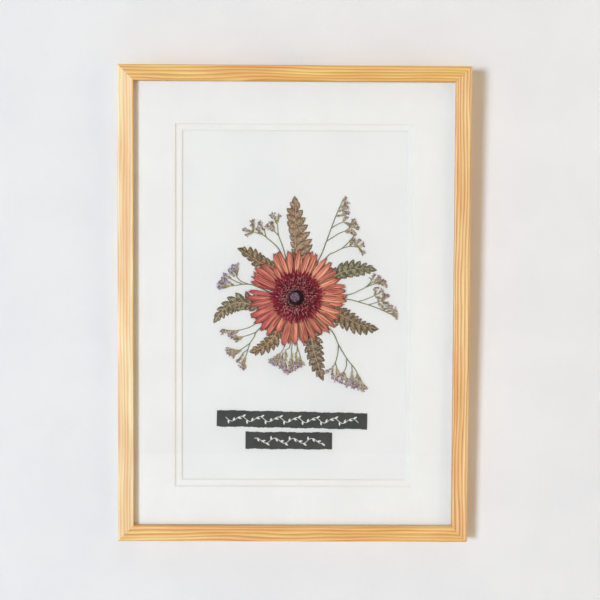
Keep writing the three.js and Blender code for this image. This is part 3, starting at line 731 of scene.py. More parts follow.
def floretMaterial():
    # deep maroon straps with paler, pinker ridges, over a bed darkened as painted shade between them
    material, tree = newMaterial("maroon_floret", Roughness=0.75, Specular_IOR_Level=0.2)
    span, (along, _, _), (pale, dark, own) = readings(tree)
    streak, _ = fibres(span, 3.0, 1.5)
    base = mixed(own, (152, 22, 50), (114, 4, 32)).under(
        (pale * along.ramp(0.1, 0.9, 0.1, 0.95), mixed(own, (236, 172, 168), (204, 104, 118))),
        (streak.ramp(0.5, 0.7) * 0.4, (178, 52, 70)),
        (along.ramp(0.4, 0.0, 0.0, 0.65), (78, 10, 30)),
        # painted shade: the bed under the straps is darkened, so the gaps between them read as shadow
        (dark * 0.85, (62, 10, 22)),
    )
    return dress(material, base, streak, 0.6, 0.15)


def makeInnerFlorets():
    s, strap = floretSettings, strapShape(7, 8, 0.6)
    parts = []
    for ring in floretRings:
        count = ring["count"]
        pick = lambda limits: chance.uniform(*limits, count)
        spot = turns(count) + chance.normal(0, s["scatter"] * 2 * np.pi / count, count)
        foot = pick(ring["foot"])
        x, z = fringeShift(foot)
        angle = spot + chance.normal(0, s["lean"], count)
        parts.append(lay(
            strap, foot * np.cos(spot) + x, foot * np.sin(spot) + z, angle, pick(ring["length"]),
            pick(ring["width"]), chance.normal(0, s["bend"], count), pick(ring["lift"]), pick(s["rise"]),
            s["thickness"], pick((0, 1)), (smooth(pick(ring["pale"]), 0.2, 0.7), 0.0, pick((0, 1))),
        ))
    parts.append(revolved(fringeProfile, 60, lambda radius, turn: (0, 1, 0.5), fringeShift))
    makePiece("inner_florets", parts, floretMaterial(), "gerbera_inner_florets")


discSettings = {
    "radius": 9.5,
    "filled": 0.97,  # the share of the radius that buds fill
    "buttonRadius": 4.3,
    "buds": 190,
    "budSize": 0.66,
    "goldenAngle": 137.508,
    "bud": {"radii": (0.0, 1.0, 0.9, 0.5, 0.0), "spots": (0, 0.25, 0.5, 0.8, 1.0), "size": (0.8, 1.25)},
    "ring": {"from": (4.0, 4.8), "to": (5.0, 6.2), "wider": 3.4},  # the dark ring's two edges
    "darkSide": 25.0,  # degrees below the right: where the ring is wider
}
discHeights = {"radius": (0, 3.2, 4.6, 6.2, 8.4, 9.5), "height": (2.8, 2.72, 2.3, 2.35, 2.55, 2.45)}
discProfile = [(0, 1.65), (9, 1.65), (9.4, 1.8), (8.4, 2), (6.2, 1.8), (4.7, 1.85), (3.4, 2.35), (0, 2.45)]


def discMaterial():
    # the button is grey-mauve, the ring round it nearly black, and the outer buds purple-brown
    material, tree = newMaterial("dark_disc", Roughness=0.85, Specular_IOR_Level=0.1)
    _, (along, _, _), (button, ring, own) = readings(tree)
    tip = along.ramp(0.4, 0.9) * ring.ramp(1.0, 0.0, 0.12, 0.7)
    base = mixed(own, (168, 108, 112), (78, 26, 42)).under(
        (ring, mixed(own, (44, 14, 24), (18, 4, 10))),
        (button, mixed(own, (176, 146, 164), (118, 88, 106))),
        (tip, mixed(button, (196, 146, 146), (196, 170, 184))),
    )
    return dress(material, base, noise(objectPlace(tree), 3.0, 3), 0.5, 0.1)


def darkRing(radius, spot):
    # the dark ring begins at the button's edge, and its far edge moves out towards its dark side
    s, ring = discSettings, discSettings["ring"]
    wider = ring["wider"] * (0.5 + 0.5 * np.cos(spot + math.radians(s["darkSide"])))
    return smooth(radius, *ring["from"]) * smooth(radius, ring["to"][1] + wider, ring["to"][0] + wider)


def makeDisc():
    # buds on the sunflower spiral: the k-th at the golden angle times k, its radius by the root of k
    s = discSettings
    count, edge = s["buds"], s["buttonRadius"]
    pick = lambda low, high: chance.uniform(low, high, count)
    k = np.arange(1, count + 1)
    radius = s["radius"] * np.sqrt(k / count) * s["filled"]
    spot = k * math.radians(s["goldenAngle"])
    height = np.interp(radius, discHeights["radius"], discHeights["height"])
    bud = coneShape(5, 6, s["bud"]["radii"], s["bud"]["spots"])
    size = s["budSize"] * pick(*s["bud"]["size"])
    lean = spot + chance.normal(0, 0.5, count)
    buds = lay(
        bud, radius * np.cos(spot), radius * np.sin(spot), lean, size * 1.7, size, 0.0,
        height, pick(0.0, 0.15), size * 0.6, pick(0, 1),
        (smooth(radius, edge + 0.3, edge - 0.3), darkRing(radius, spot), smooth(pick(0, 1), 0.3, 0.7)),
    )
    bedTint = lambda radius, turn: (smooth(radius, 4.8, 3.0), darkRing(radius, turn), 0.9)
    parts = [buds, revolved(discProfile, 48, bedTint)]
    makePiece("disc", parts, discMaterial(), "gerbera_disc")


makeInnerFlorets()
makeDisc()
print("florets and disc made")


# ---- the fern leaves

leafSettings = {
    "lift": 0.14,
    "lowest": 0.1,
    "thickness": 0.05,
    "tilt": 0.2,  # a leaflet's rear edge lies under the one behind it
    "crown": 0.12,
    "ridge": {"height": 0.07, "width": 0.14},  # over the middle vein
    "ripple": {"height": 0.03, "count": 7, "slant": 0.32},
    "forward": 0.58,  # how far a leaflet leans forward, as a share of its reach
    "shortest": 0.95,  # its shortest run along the rib, in spacings
    "tipAhead": 1.12,  # where its tip lies along the rib, in spacings, and where its reach is read
    "reachAhead": 0.95,
    "lowReach": 0.85,  # of the leaflets by the petals
    "knee": (0.52, 0.55),  # of its curve: back along the run, and out, as shares
    "foot": 0.2,  # how far beside the rib's line it starts
    "end": {"spots": (1.6, 0.8, 0.0), "widths": (0.3, 0.6)},  # the end blade: spacings from the rib's tip
    "width": 0.5,  # a leaflet's half width, as a share of their spacing
    "web": (0.36, 0.85),  # how far the undivided blade reaches, of the half width: low, at the tip
    "webWidens": (0.72, 0.94),  # between these shares of the blade
    "webLift": (0.16, 0.04),
    "ribRadius": (0.6, 0.16),
    "ribLift": 0.6,
    "serration": 0.12,
    "rows": 18,
    "columns": 20,
}

# the rib from base to tip, the half widths of both sides along the blade, the leaflets of each side,
# and the finish: the blade's two colours, its margin, its veins
leaves = {
    "top": {
        "rib": [(4, 24), (2.3, 43), (0.3, 53.5), (-0.4, 72.5), (0, 91), (-1, 103.3)],
        "left": [5, 5, 6, 9, 9, 0.5], "right": [16.6, 18.2, 15.2, 11.4, 6, 0.5], "lobes": (9, 8),
        "blade": ((167, 135, 102), (124, 98, 78)), "margin": (80, 60, 42), "vein": (206, 172, 144),
    },
    "upper_left": {
        "rib": [(-17, 19), (-21, 29), (-36.5, 35.5), (-44, 40.5), (-52, 45.5), (-59.3, 49.8)],
        "left": [8, 9, 8, 4.5, 3, 0.5], "right": [5.4, 6.8, 8.8, 9.7, 8, 0.5], "lobes": (6, 8),
        "blade": ((141, 118, 84), (84, 68, 46)), "margin": (48, 41, 24), "vein": (194, 160, 124),
    },
    "left": {
        "rib": [
            (-24, -7), (-39, -9.5), (-48.6, -6.8), (-56, -5.6), (-64.7, -7.5), (-72.7, -13), (-79, -20.5),
            (-83.2, -27.1),
        ],
        "left": [6, 7.4, 9.6, 9.2, 6.3, 0.5], "right": [9, 12.8, 10, 6.8, 4.8, 0.5], "lobes": (10, 8),
        "blade": ((141, 125, 97), (80, 71, 50)), "margin": (46, 43, 29), "vein": (206, 182, 148),
    },
    "lower_left": {
        "rib": [(-15, -21), (-20.5, -39), (-26, -45.2), (-33, -51), (-39, -54), (-46.8, -56.3)],
        "left": [9, 10.5, 10, 8.2, 6.2, 0.5], "right": [5, 6, 6.2, 5.6, 4.4, 0.5], "lobes": (6, 6),
        "blade": ((146, 123, 85), (90, 70, 44)), "margin": (50, 38, 18), "vein": (216, 178, 138),
    },
    "bottom": {
        "rib": [(9, -24), (16.5, -41), (19, -53), (21.2, -61), (25.4, -73.6), (29.5, -86)],
        "left": [11.6, 10.7, 9.8, 7.6, 4.4, 0.5], "right": [9, 10, 9, 9, 7, 0.5], "lobes": (7, 7),
        "blade": ((136, 114, 90), (80, 64, 50)), "margin": (48, 40, 26), "vein": (200, 171, 143),
    },
    "lower_right": {
        "rib": [(23, -10), (43.5, -16.5), (50.4, -20), (56, -22.6), (62, -26), (68.3, -28), (86.2, -32.4)],
        "left": [9, 9.6, 8.1, 5.6, 3.2, 0.5], "right": [12, 12.6, 12, 11, 8.6, 0.5], "lobes": (9, 8),
        "blade": ((136, 118, 90), (84, 72, 54)), "margin": (48, 40, 25), "vein": (196, 162, 126),
    },
    "right": {
        "rib": [(22, 10), (44.3, 24), (52.4, 27), (60, 28.8), (68.8, 30), (76, 29.5), (83.8, 27.8)],
        "left": [9, 10, 10.5, 7, 4.4, 0.5], "right": [7, 7.5, 8, 8.4, 5.8, 0.5], "lobes": (7, 6),
        "blade": ((128, 120, 88), (84, 80, 56)), "margin": (50, 48, 28), "vein": (188, 174, 142),
    },
}


def leafBlades(lines, widths, hand):
    # pointed blades along their middle lines: the half width is 2.2t + 0.35, up to 1, to the power
    # 0.6, times 1 - t to the power 3.4, and the margin a small fast sine. The front rises by a crown
    # of v squared and a fine middle vein, and tilts so that a blade overlaps the one behind it.
    s, ridge, ripple = leafSettings, leafSettings["ridge"], leafSettings["ripple"]
    own = lambda: chance.uniform(0, 1, len(lines))[:, None, None]
    ahead = np.gradient(lines, axis=1)
    ahead /= np.linalg.norm(ahead, axis=2, keepdims=True)
    v, side = (values[None, None] for values in sheetLoop(s["columns"]))
    t = np.linspace(0, 1, s["rows"])[None, :, None]
    half = widths[:, None, None] * np.minimum(1, 2.2 * t + 0.35) ** 0.6 * (1 - t ** 3.4)
    half = half * (1 + s["serration"] * np.sin(2 * np.pi * (5 * t + own())))
    x = lines[..., 0, None] - ahead[..., 1, None] * half * v
    z = lines[..., 1, None] + ahead[..., 0, None] * half * v
    rise = s["crown"] * (1 - v ** 2) + ridge["height"] * np.exp(-(v / ridge["width"]) ** 2)
    rise = rise + ripple["height"] * np.sin(2 * np.pi * ripple["count"] * (t - ripple["slant"] * np.abs(v)))
    up = s["lift"] + s["tilt"] * (1 - hand * v) + (rise + s["thickness"] * side) * thinned(t)
    return part(x, z, np.maximum(up, s["lowest"]), t, v, own(), (own(), 0.0, 0.0))


def curves(start, knee, tip):
    # quadratic curves: (1 - t)² start + 2t(1 - t) knee + t² tip
    t = np.linspace(0, 1, leafSettings["rows"])[None, :, None]
    return (1 - t) ** 2 * start[:, None] + 2 * t * (1 - t) * knee[:, None] + t ** 2 * tip[:, None]


def leaflets(rib, hidden, halfWidths, count, hand):
    # the leaflets of one side: each leaves the rib, runs forward as far as it is long, and bends to its tip
    s, spacing = leafSettings, (rib["length"] - hidden) / count
    back, out = s["knee"]
    i = np.arange(-2, count - 1)
    half = np.interp((i + s["reachAhead"]) / count, np.linspace(0, 1, len(halfWidths)), halfWidths)
    half = half * np.where(i < 0, s["lowReach"], 1.0)
    tipAt = hidden + (i + s["tipAhead"]) * spacing
    run = np.maximum(s["shortest"] * spacing, s["forward"] * half)
    where = lambda distance, across: np.stack(beside(rib, distance / rib["length"], hand * across), axis=-1)
    lines = curves(where(tipAt - run, s["foot"]), where(tipAt - back * run, out * half), where(tipAt, half))
    return leafBlades(lines, s["width"] * spacing * np.clip(half / 7, 0.8, 1.1), hand)


def endBlade(rib, hidden, halfWidths, count):
    # the pointed blade at the leaf's tip, on the rib's own line
    end, spacing = leafSettings["end"], (rib["length"] - hidden) / count
    shares = (rib["length"] - np.array(end["spots"]) * spacing) / rib["length"]
    points = np.stack(pathPoint(rib, shares), axis=-1)
    share, least = end["widths"]
    return leafBlades(curves(*points[:, None]), np.array([share * halfWidths[-2] + least]), 0.0)


def webbing(rib, hidden, leaf):
    # the undivided blade beside the rib: across is v times a share of that side's half width
    s = leafSettings
    share = np.linspace(0, 1, 40)[:, None]
    beyond = np.clip((share * rib["length"] - hidden) / (rib["length"] - hidden), 0, 1)
    left, right = (np.interp(beyond, np.linspace(0, 1, 6), leaf[key]) for key in ("left", "right"))
    v, side = sheetLoop(16)
    web = s["web"][0] + (s["web"][1] - s["web"][0]) * smooth(beyond, *s["webWidens"])
    x, z = beside(rib, share, web * np.where(v > 0, left, right) * v * ((share > 0) & (share < 1)))
    return part(x, z, s["webLift"][0] + s["webLift"][1] * side, share, v, 0.4, (0.5, 0.0, 0.0))


def fernMaterial(name, leaf):
    # a dried blade between two colours, with a darker margin and paler veins, both also in patches
    material, tree = newMaterial("dried_fern_" + name, Roughness=0.7, Sheen_Weight=0.1)
    span, (along, _, _), (own, _, rib) = readings(tree)
    broad, fine = mottle(objectPlace(tree), 1.9)
    middle, sides, edge = leafVeins(span, 5.0)
    margin, vein = leaf["margin"], leaf["vein"]
    base = mixed(own * 0.45 + broad.ramp(0.4, 0.6, 0.0, 0.85), *leaf["blade"]).under(
        (broad.ramp(0.53, 0.62, 0.0, 0.6), margin),
        (broad.ramp(0.46, 0.38, 0.0, 0.55), vein),
        (along.ramp(0.5, 0.1) * edge.ramp(0.6, 0.0) * 0.14, vein),
        (edge * 0.95, margin),
        (sides * 0.4, vein),
        (middle * 0.6, vein),
        (rib, vein),
    )
    return dress(material, base, sides * 0.6 + fine, 0.6, 0.12)


def makeLeaf(name, leaf):
    # the first stretch of the rib is bare and lies under the petals
    s = leafSettings
    rib = smoothPath(leaf["rib"])
    hidden = math.dist(*leaf["rib"][:2])
    parts = [
        leaflets(rib, hidden, leaf["left"], leaf["lobes"][0], 1),
        leaflets(rib, hidden, leaf["right"], leaf["lobes"][1], -1),
        endBlade(rib, hidden, leaf["left"], max(leaf["lobes"])),
        webbing(rib, hidden, leaf),
        tube(rib, *s["ribRadius"], s["ribLift"], 40, 8, 0.5, (0.5, 0, 1)),
    ]
    makePiece("fern_" + name, parts, fernMaterial(name, leaf), "fern_leaf_" + name)


for name, leaf in leaves.items():
    makeLeaf(name, leaf)
print("fern leaves made")


# ---- the statice sprigs

sprigSettings = {
    "stemRadius": (0.58, 0.46, 0.34),  # at the foot, at a branch's foot, at the end
    "axisRadius": (0.34, 0.16),
    "stemLift": 0.62,
    "spacing": 0.68,  # between the florets of one side
    "fan": (0.3, 1.8),  # a spray's half width at its foot and at its tip
    "calyxLength": (1.5, 2.5),
    "calyxWidth": (0.38, 0.56),
    "corollaLength": (1.1, 1.8),
    "corollaWidth": (0.45, 0.75),
    "spread": (0.2, 0.8),  # how far a floret leans off the spray, in radians
    "filled": (0.02, 0.86),  # where the florets begin along a spray, and over what share of it they stand
    "scatter": (0.02, 0.3),  # of a floret along the spray, and of its lean
    "taper": 0.25,
    "bend": 0.4,
    "bearing": (0.35, 1.1),  # how many calyces carry a floret at a spray's foot, and how many more at its tip
    "huskRadii": (0.0, 0.35, 0.45, 0.6, 1.0, 0.0),
}

# the finishes: a calyx's light and dark colours, the florets' colours at a spray's foot and at its tip,
# and the share of the calyces that carry a floret
staticeColours = {
    "brown": [(204, 184, 110), (104, 84, 60), (204, 182, 178), (136, 98, 124), 0.5],
    "purple": [(200, 184, 104), (102, 82, 68), (210, 188, 206), (138, 102, 196), 0.6],
    "khaki": [(204, 184, 102), (106, 84, 56), (210, 186, 184), (150, 108, 142), 0.5],
    "lilac": [(206, 188, 112), (100, 76, 60), (224, 204, 204), (154, 112, 168), 0.6],
    "pink": [(202, 180, 104), (106, 82, 60), (206, 180, 180), (146, 102, 128), 0.6],
}

# each sprig's stems, thickest first, and its sprays of florets, from base to tip
sprigs = {
    "upper_left_outer": {
        "colours": "brown",
        "stems": [
            [(-8, 23), (-15.4, 46.9), (-29.7, 61), (-36.5, 64.4), (-43, 66.3)],
            [(-29.7, 61), (-31.2, 66), (-31.2, 69.5)],
        ],
        "sprays": [
            (-42, 66, -53.5, 68.9), (-43, 66.3, -50, 64), (-43, 66, -43.6, 79), (-31.2, 66.5, -37.2, 77),
            (-32.5, 62.5, -39.6, 70.5),
        ],
    },
    "upper_left_inner": {
        "colours": "brown",
        "stems": [
            [(-4.5, 24), (-8, 34), (-12.3, 50), (-17, 63), (-18.3, 75)],
            [(-16.8, 62.5), (-21, 66.6), (-24.8, 69.7)],
        ],
        "sprays": [
            (-18.3, 74, -23.9, 85.6), (-18.4, 74.8, -16.9, 84), (-20, 65.5, -30.3, 73.4),
            (-21.1, 67, -25.1, 77),
        ],
    },
    "top_right_tall": {
        "colours": "brown",
        "stems": [
            [(13, 22), (25, 40.5), (32.3, 59), (37, 72), (42, 85), (46, 94.5), (48.5, 99)],
            [(36.5, 70.5), (42.7, 74.4), (49, 77)], [(31.5, 57), (44, 65), (51.4, 68.2), (55.8, 72)],
        ],
        "sprays": [
            (46.5, 96, 51.3, 101.6), (44.2, 90, 54, 97), (42.8, 87, 54.6, 92.2), (41, 82.4, 54.6, 86.6),
            (48, 76.6, 52, 81.8), (49, 77, 55.6, 73.8), (55.4, 71, 62, 76.4), (50, 67.2, 59.5, 68.2),
            (55, 71, 60, 80), (55.4, 71.6, 64.3, 71.4), (51, 68, 62.3, 64),
        ],
    },
    "top_right_short": {
        "colours": "brown",
        "stems": [
            [(17, 18), (32.4, 41.3), (39.8, 45.9), (47.8, 50), (55.2, 51.9), (62, 51.6), (66, 50.4)],
            [(47.2, 49.6), (53, 55), (56.4, 58.6)],
        ],
        "sprays": [
            (54, 56.4, 59.4, 60.4), (54, 51.6, 59.5, 57), (60, 51.7, 65.4, 58.6), (62, 51.5, 70.2, 54.2),
            (64, 51, 70.4, 45.2),
        ],
    },
    "left": {
        "colours": "purple",
        "stems": [
            [(-24, 4), (-41.2, 11.5), (-48, 13), (-54.8, 12.7), (-62.3, 11.4), (-68, 11)],
            [(-46.8, 12.8), (-55.8, 16.4), (-61, 23)], [(-53, 12.6), (-60, 15.6), (-67, 19)],
        ],
        "sprays": [
            (-59, 21.4, -59.5, 34.6), (-59, 22, -65, 31.8), (-61.5, 20, -67, 27.4), (-64.5, 19, -73, 23),
            (-62.3, 11.4, -75.8, 19.4), (-66.5, 11, -79.2, 14.2), (-66.5, 11.1, -78.6, 9),
        ],
    },
    "lower_left_upper": {
        "colours": "khaki",
        "stems": [
            [(-21, -13), (-42.3, -28.8), (-52.2, -32.9), (-58.4, -34.1), (-66, -34.5)],
        ],
        "sprays": [
            (-64, -34.4, -74, -34.4), (-65, -34.6, -76, -36), (-58, -34.2, -68.3, -39.6),
            (-56, -33.8, -64.5, -37.4),
        ],
    },
    "lower_left_lower": {
        "colours": "khaki",
        "stems": [
            [(-18, -16), (-38, -34.1), (-41.7, -41), (-46, -47.8), (-49.1, -57.7), (-51.2, -63)],
            [(-38.4, -35.2), (-46, -38.6), (-54, -40.9)], [(-45.4, -47), (-51.6, -51.5), (-57.1, -55)],
            [(-47.6, -53.2), (-53, -57.6)],
        ],
        "sprays": [
            (-53, -40.6, -65.4, -42), (-53, -40.8, -61, -45), (-56.5, -54.6, -71, -54.2),
            (-56.8, -55, -69.4, -58.6), (-54.6, -54, -64.6, -61), (-52, -56.6, -59, -67),
            (-50.8, -61.6, -52.4, -74.8), (-51, -62, -56, -72),
        ],
    },
    "bottom": {
        "colours": "lilac",
        "stems": [
            [(-3.5, -23), (-10.5, -50), (-15.1, -57.6)],
            [(-3, -23), (-5, -49.4), (-9.2, -54), (-10.2, -58.5)], [(-2.5, -23), (-3.1, -50), (-4, -62.4)],
            [(-2, -23), (2.4, -51.3), (-0.4, -62.5)], [(2.2, -50), (6.1, -62)],
        ],
        "sprays": [
            (-14.8, -57, -26.3, -67.8), (-14.8, -57.4, -22.5, -69.6), (-14.8, -57.1, -18.8, -70.4),
            (-12.4, -56, -14, -74.4), (-9, -55, -10.5, -78), (-4, -61.5, -6.8, -79.6), (-3.4, -56, -2.8, -78),
            (0.8, -56, 2.4, -74), (5.2, -60, 4.4, -71.8), (6, -62, 8, -70.6),
        ],
    },
    "bottom_right": {
        "colours": "lilac",
        "stems": [
            [(18, -17), (37.5, -34.3), (45.1, -49.4), (53.5, -63), (61.8, -73.4), (66, -81.5), (71.5, -91)],
            [(44.6, -48), (43.8, -58.3), (41.1, -68), (37.2, -73.6)], [(53, -62), (52.8, -70.7), (49.8, -77)],
            [(58.4, -69), (58.7, -79)], [(41.6, -67), (43.6, -74)],
        ],
        "sprays": [
            (38, -72.6, 32, -76.6), (38.6, -69.6, 38.4, -83.6), (43, -72, 42.6, -86.4), (43.4, -73, 47, -81),
            (50.2, -76, 47, -88), (50.6, -76, 54, -91.6), (58.8, -74, 57, -91), (58.8, -78.4, 60.6, -94),
            (63.6, -76.6, 63.4, -93), (66, -81, 66, -95), (68.4, -85.6, 69.8, -96.4),
            (70.4, -88, 72.6, -93.4),
        ],
    },
    "right_lower": {
        "colours": "pink",
        "stems": [
            [(25, -2), (53.2, -2), (65, -4.6), (75.6, -7.8), (86.2, -11.6), (97.4, -16.8), (103.5, -19.8)],
            [(64.2, -4.4), (73.8, -1.3), (81.8, 2.2)], [(74.8, -7.6), (83.2, -5.1), (88.5, -3.2)],
        ],
        "sprays": [
            (81.4, 1.8, 82.4, 10.4), (81.8, 2, 89.6, 6.6), (81.6, 2, 86.2, -1.6), (87.8, -3.6, 91.6, 3),
            (88, -3.5, 95.4, 2.4), (87.8, -3.4, 94.8, -7), (84.4, -5, 90, -10.4), (89.8, -13.2, 99, -8.4),
            (92.8, -14.6, 103.6, -12), (96.6, -16.6, 104, -16.4), (99.6, -18, 104, -20),
        ],
    },
    "right_upper": {
        "colours": "pink",
        "stems": [
            [(24, 3), (53.5, 2.8), (66.7, 7.7), (72.5, 11), (77.7, 17.2), (74.9, 21)],
            [(71.6, 10.2), (81.9, 14), (89.4, 13.6)], [(73, 11.4), (79, 15.4), (84.4, 18.4)],
        ],
        "sprays": [
            (77.6, 17.1, 80.6, 23.4), (78.6, 15.4, 87, 20.6), (80, 13.4, 89.6, 18.8), (83, 14, 92.6, 16),
            (87, 13.7, 92.6, 11.6),
        ],
    },
}


def staticeMaterial(name, colours):
    # olive stems, khaki calyces and papery florets, told apart by the tint
    material, tree = newMaterial("dried_statice_" + name, Roughness=0.75, Sheen_Weight=0.2)
    span, (along, _, _), (calyx, floret, own) = readings(tree)
    patch, _ = mottle(objectPlace(tree), 1.4)
    streak, thread = fibres(span, 2.5, 4.0)
    stem = mixed(streak.ramp(0.35, 0.65), (112, 116, 62), (146, 142, 90))
    husk = mixed(own, *colours[:2]).under((along.ramp(0.0, 0.5, 0.45, 0.0), (116, 108, 66)))
    petal = mixed(own, *colours[2:]).under((along.ramp(0.5, 0.0, 0.0, 0.6), husk))
    base = stem.under(
        (calyx, husk),
        (floret, petal),
        (calyx * patch.ramp(0.46, 0.39, 0.0, 0.7), (66, 48, 22)),
        (calyx * patch.ramp(0.52, 0.6, 0.0, 0.7), (232, 212, 192)),
        (thread.ramp(0.5, 0.7, 0.0, 0.3), (94, 76, 50)),
    )
    return dress(material, base, thread, 0.5, 0.1)


def sprayFlorets(path, share):
    # a spray is a small fan: its half width grows from foot to tip, and husks that widen to their mouths
    # stand in it, leaning outwards; towards the tip more of them carry a papery limb of deeper colour
    s = sprigSettings
    perSide = max(3, round(path["length"] / s["spacing"]))
    spot = np.concatenate([(np.arange(perSide) + shift) / perSide for shift in (0.3, 0.75)] + [[0.97]])
    hand = np.concatenate([np.ones(perSide), -np.ones(perSide), [0.0]])
    count = len(spot)
    pick = lambda low, high: chance.uniform(low, high, count)
    begin, filled = s["filled"]
    spot = np.clip(spot * filled + begin + chance.normal(0, s["scatter"][0], count), 0, 0.97)
    away = pick(0, 1)
    narrow, wide = s["fan"]
    x, z = beside(path, spot, hand * away * (narrow + (wide - narrow) * smooth(spot, 0.1, 0.8)))
    dx, dz = pathDirection(path, spot)
    angle = np.arctan2(dz, dx) + (hand * pick(*s["spread"]) * away + chance.normal(0, s["scatter"][1], count))
    length = pick(*s["calyxLength"]) * (1 - s["taper"] * spot)
    width = pick(*s["calyxWidth"])
    rise = pick(0.0, 0.5)
    lift = s["stemLift"] + 0.1
    seed, own = pick(0, 1), np.clip(pick(-0.2, 0.6) + 0.6 * spot, 0, 1)
    bend = -hand * s["bend"]
    husk = coneShape(6, 6, s["huskRadii"], np.linspace(0, 1, 6))
    husks = lay(husk, x, z, angle, length, width, bend, lift, rise, width * 0.55, seed, (1.0, 0.0, own))
    least, more = s["bearing"]
    bears = pick(0, 1) < share * (least + more * smooth(spot, 0.15, 0.75))
    ahead = length - 0.5  # a limb starts a little behind its husk's mouth
    tipX = x + ahead * np.cos(angle) - bend * np.sin(angle)
    tipZ = z + ahead * np.sin(angle) + bend * np.cos(angle)
    pick = lambda low, high: chance.uniform(low, high, bears.sum())
    limbs = lay(
        strapShape(5, 10, 0.35), tipX[bears], tipZ[bears], angle[bears] + pick(-0.6, 0.6),
        pick(*s["corollaLength"]), pick(*s["corollaWidth"]), 0.0,
        (lift + rise)[bears], pick(0.0, 0.35), 0.3, pick(0, 1),
        (1.0, 1.0, np.clip(spot[bears] + pick(-0.5, 0.35), 0, 1)),
    )
    return [husks, limbs]


def makeSprig(name, sprig, material, share):
    s = sprigSettings
    foot, branch, end = s["stemRadius"]
    parts = []
    for i, points in enumerate(sprig["stems"]):
        path = smoothPath(points)
        parts.append(tube(path, branch if i else foot, end, s["stemLift"], 10 * len(points), 8, 0.1 * i))
    for spray in sprig["sprays"]:
        path = straightPath(*spray)
        parts.append(tube(path, *s["axisRadius"], s["stemLift"], 8, 6, 0.7))
        parts.extend(sprayFlorets(path, share))
    makePiece("statice_" + name, parts, material, "statice_sprig_" + name)


staticeMaterials = {name: staticeMaterial(name, given[:4]) for name, given in staticeColours.items()}
for name, sprig in sprigs.items():
    kind = sprig["colours"]
    makeSprig(name, sprig, staticeMaterials[kind], staticeColours[kind][4])
print("statice made")


# ---- the two black strips

stripSettings = {
    "step": 0.45,  # between the surface's points
    "lift": 0.12,
    "thickness": 0.2,
    "cockle": 0.1,
    "waver": [(0.25, 0.17), (0.2, 0.52), (0.16, 1.3), (0.16, 2.9)],  # of the long edges: heights and turns
    "vine": {"height": 2.6, "period": 19.0, "halfWidth": 0.3, "margin": 9.0},
    "leaf": {"length": 4.4, "halfWidth": 0.95, "lean": 0.85},
}

strips = {
    "upper": {"x": -2.5, "z": -126, "length": 154.4, "height": 16.8, "tilt": -1},
    "lower": {"x": -5.7, "z": -147.6, "length": 89, "height": 17.6, "tilt": -0.3},
}


def vineDistance(x, z, length):
    # how far a point is from a drawn vine: a sine stem, and leaves on both sides at each quarter period
    vine, leaf = stripSettings["vine"], stripSettings["leaf"]
    reach = length / 2 - vine["margin"]
    wave = 2 * np.pi / vine["period"]
    height = lambda at: vine["height"] * np.sin(wave * at)
    slope = lambda at: vine["height"] * wave * np.cos(wave * at)
    stem = np.abs(z - height(x)) / np.hypot(1, slope(x)) - vine["halfWidth"]
    distance = np.maximum(stem, np.abs(x) - reach)
    for k, spot in enumerate(np.arange(-reach + 3, reach - 1, vine["period"] / 4)):
        lean = leaf["lean"] * (1 if k % 2 else -1) + np.arctan(slope(spot))
        dx, dz = x - spot, z - height(spot)
        ahead = dx * np.cos(lean) + dz * np.sin(lean)
        aside = np.abs(dz * np.cos(lean) - dx * np.sin(lean))
        share = np.clip(ahead / leaf["length"], 0, 1)
        blade = aside - leaf["halfWidth"] * np.sin(np.pi * share ** 0.8)
        outside = np.maximum(-ahead, ahead - leaf["length"])
        distance = np.minimum(distance, np.maximum(blade, outside))
    return distance


def makeStrip(name, strip, material):
    # a sheet whose long edges waver by a few sines; its face cockles a little, and its ends are straight
    s, length = stripSettings, strip["length"]
    rows, front = round(length / s["step"]), round(strip["height"] / s["step"])
    across = np.concatenate([np.linspace(1, -1, front + 1), np.linspace(-1, 1, front + 1)[1:-1]])
    side = np.concatenate([[0], np.ones(front - 1), [0], -np.ones(front - 1)])
    x = (np.linspace(-0.5, 0.5, rows) * length)[:, None]
    wave = lambda shift, high, turn: high * np.sin(turn * x + shift * turn * 9 + length)
    upper, lower = (sum(wave(shift, *given) for given in s["waver"]) for shift in (1.0, 2.0))
    z = (strip["height"] / 2 + np.where(across > 0, upper, lower) * np.abs(across)) * across
    cockle = s["cockle"] * (2 + np.sin(0.11 * x + 0.3 * z) + np.sin(0.07 * x - 0.21 * z + 2))
    inner = ((np.arange(rows) > 0) & (np.arange(rows) < rows - 1))[:, None]
    up = s["lift"] + cockle + s["thickness"] / 2 * (1 + side * inner)
    ink = np.clip(vineDistance(x, z, length), -2, 2)
    cos, sin = math.cos(math.radians(strip["tilt"])), math.sin(math.radians(strip["tilt"]))
    placedX, placedZ = strip["x"] + x * cos - z * sin, strip["z"] + x * sin + z * cos
    surface = part(placedX, placedZ, up, x / length + 0.5, across, 0.3, (ink, side, 0.0))
    makePiece("strip_" + name, [surface], material, "black_strip_" + name)


def stripMaterial():
    # charcoal paper with a torn, paler edge; the vine is white ink, a little dry in places
    material, place, base, fine = matt("black_paper", 0.8, 12.0, (58, 58, 60), (68, 67, 68))
    _, (_, across, _), (ink, side, _) = readings(material.node_tree)
    mark = (ink + (fine - 0.5) * 0.5).ramp(0.12, -0.12) * side.ramp(0.2, 0.6)
    base = base.under(
        (fine.ramp(0.5, 0.8, 0.0, 0.4), (84, 83, 84)),
        (abs(across).ramp(0.97, 1.0) * 0.5, (104, 102, 102)),
        (mark, (232, 232, 230)),
    )
    return dress(material, base, paperTooth(place, 0.7)[0], 0.5, 0.1)


blackPaper = stripMaterial()
for name, strip in strips.items():
    makeStrip(name, strip, blackPaper)
print("strips made")


# ---- the stage: wall, floor, lights and camera

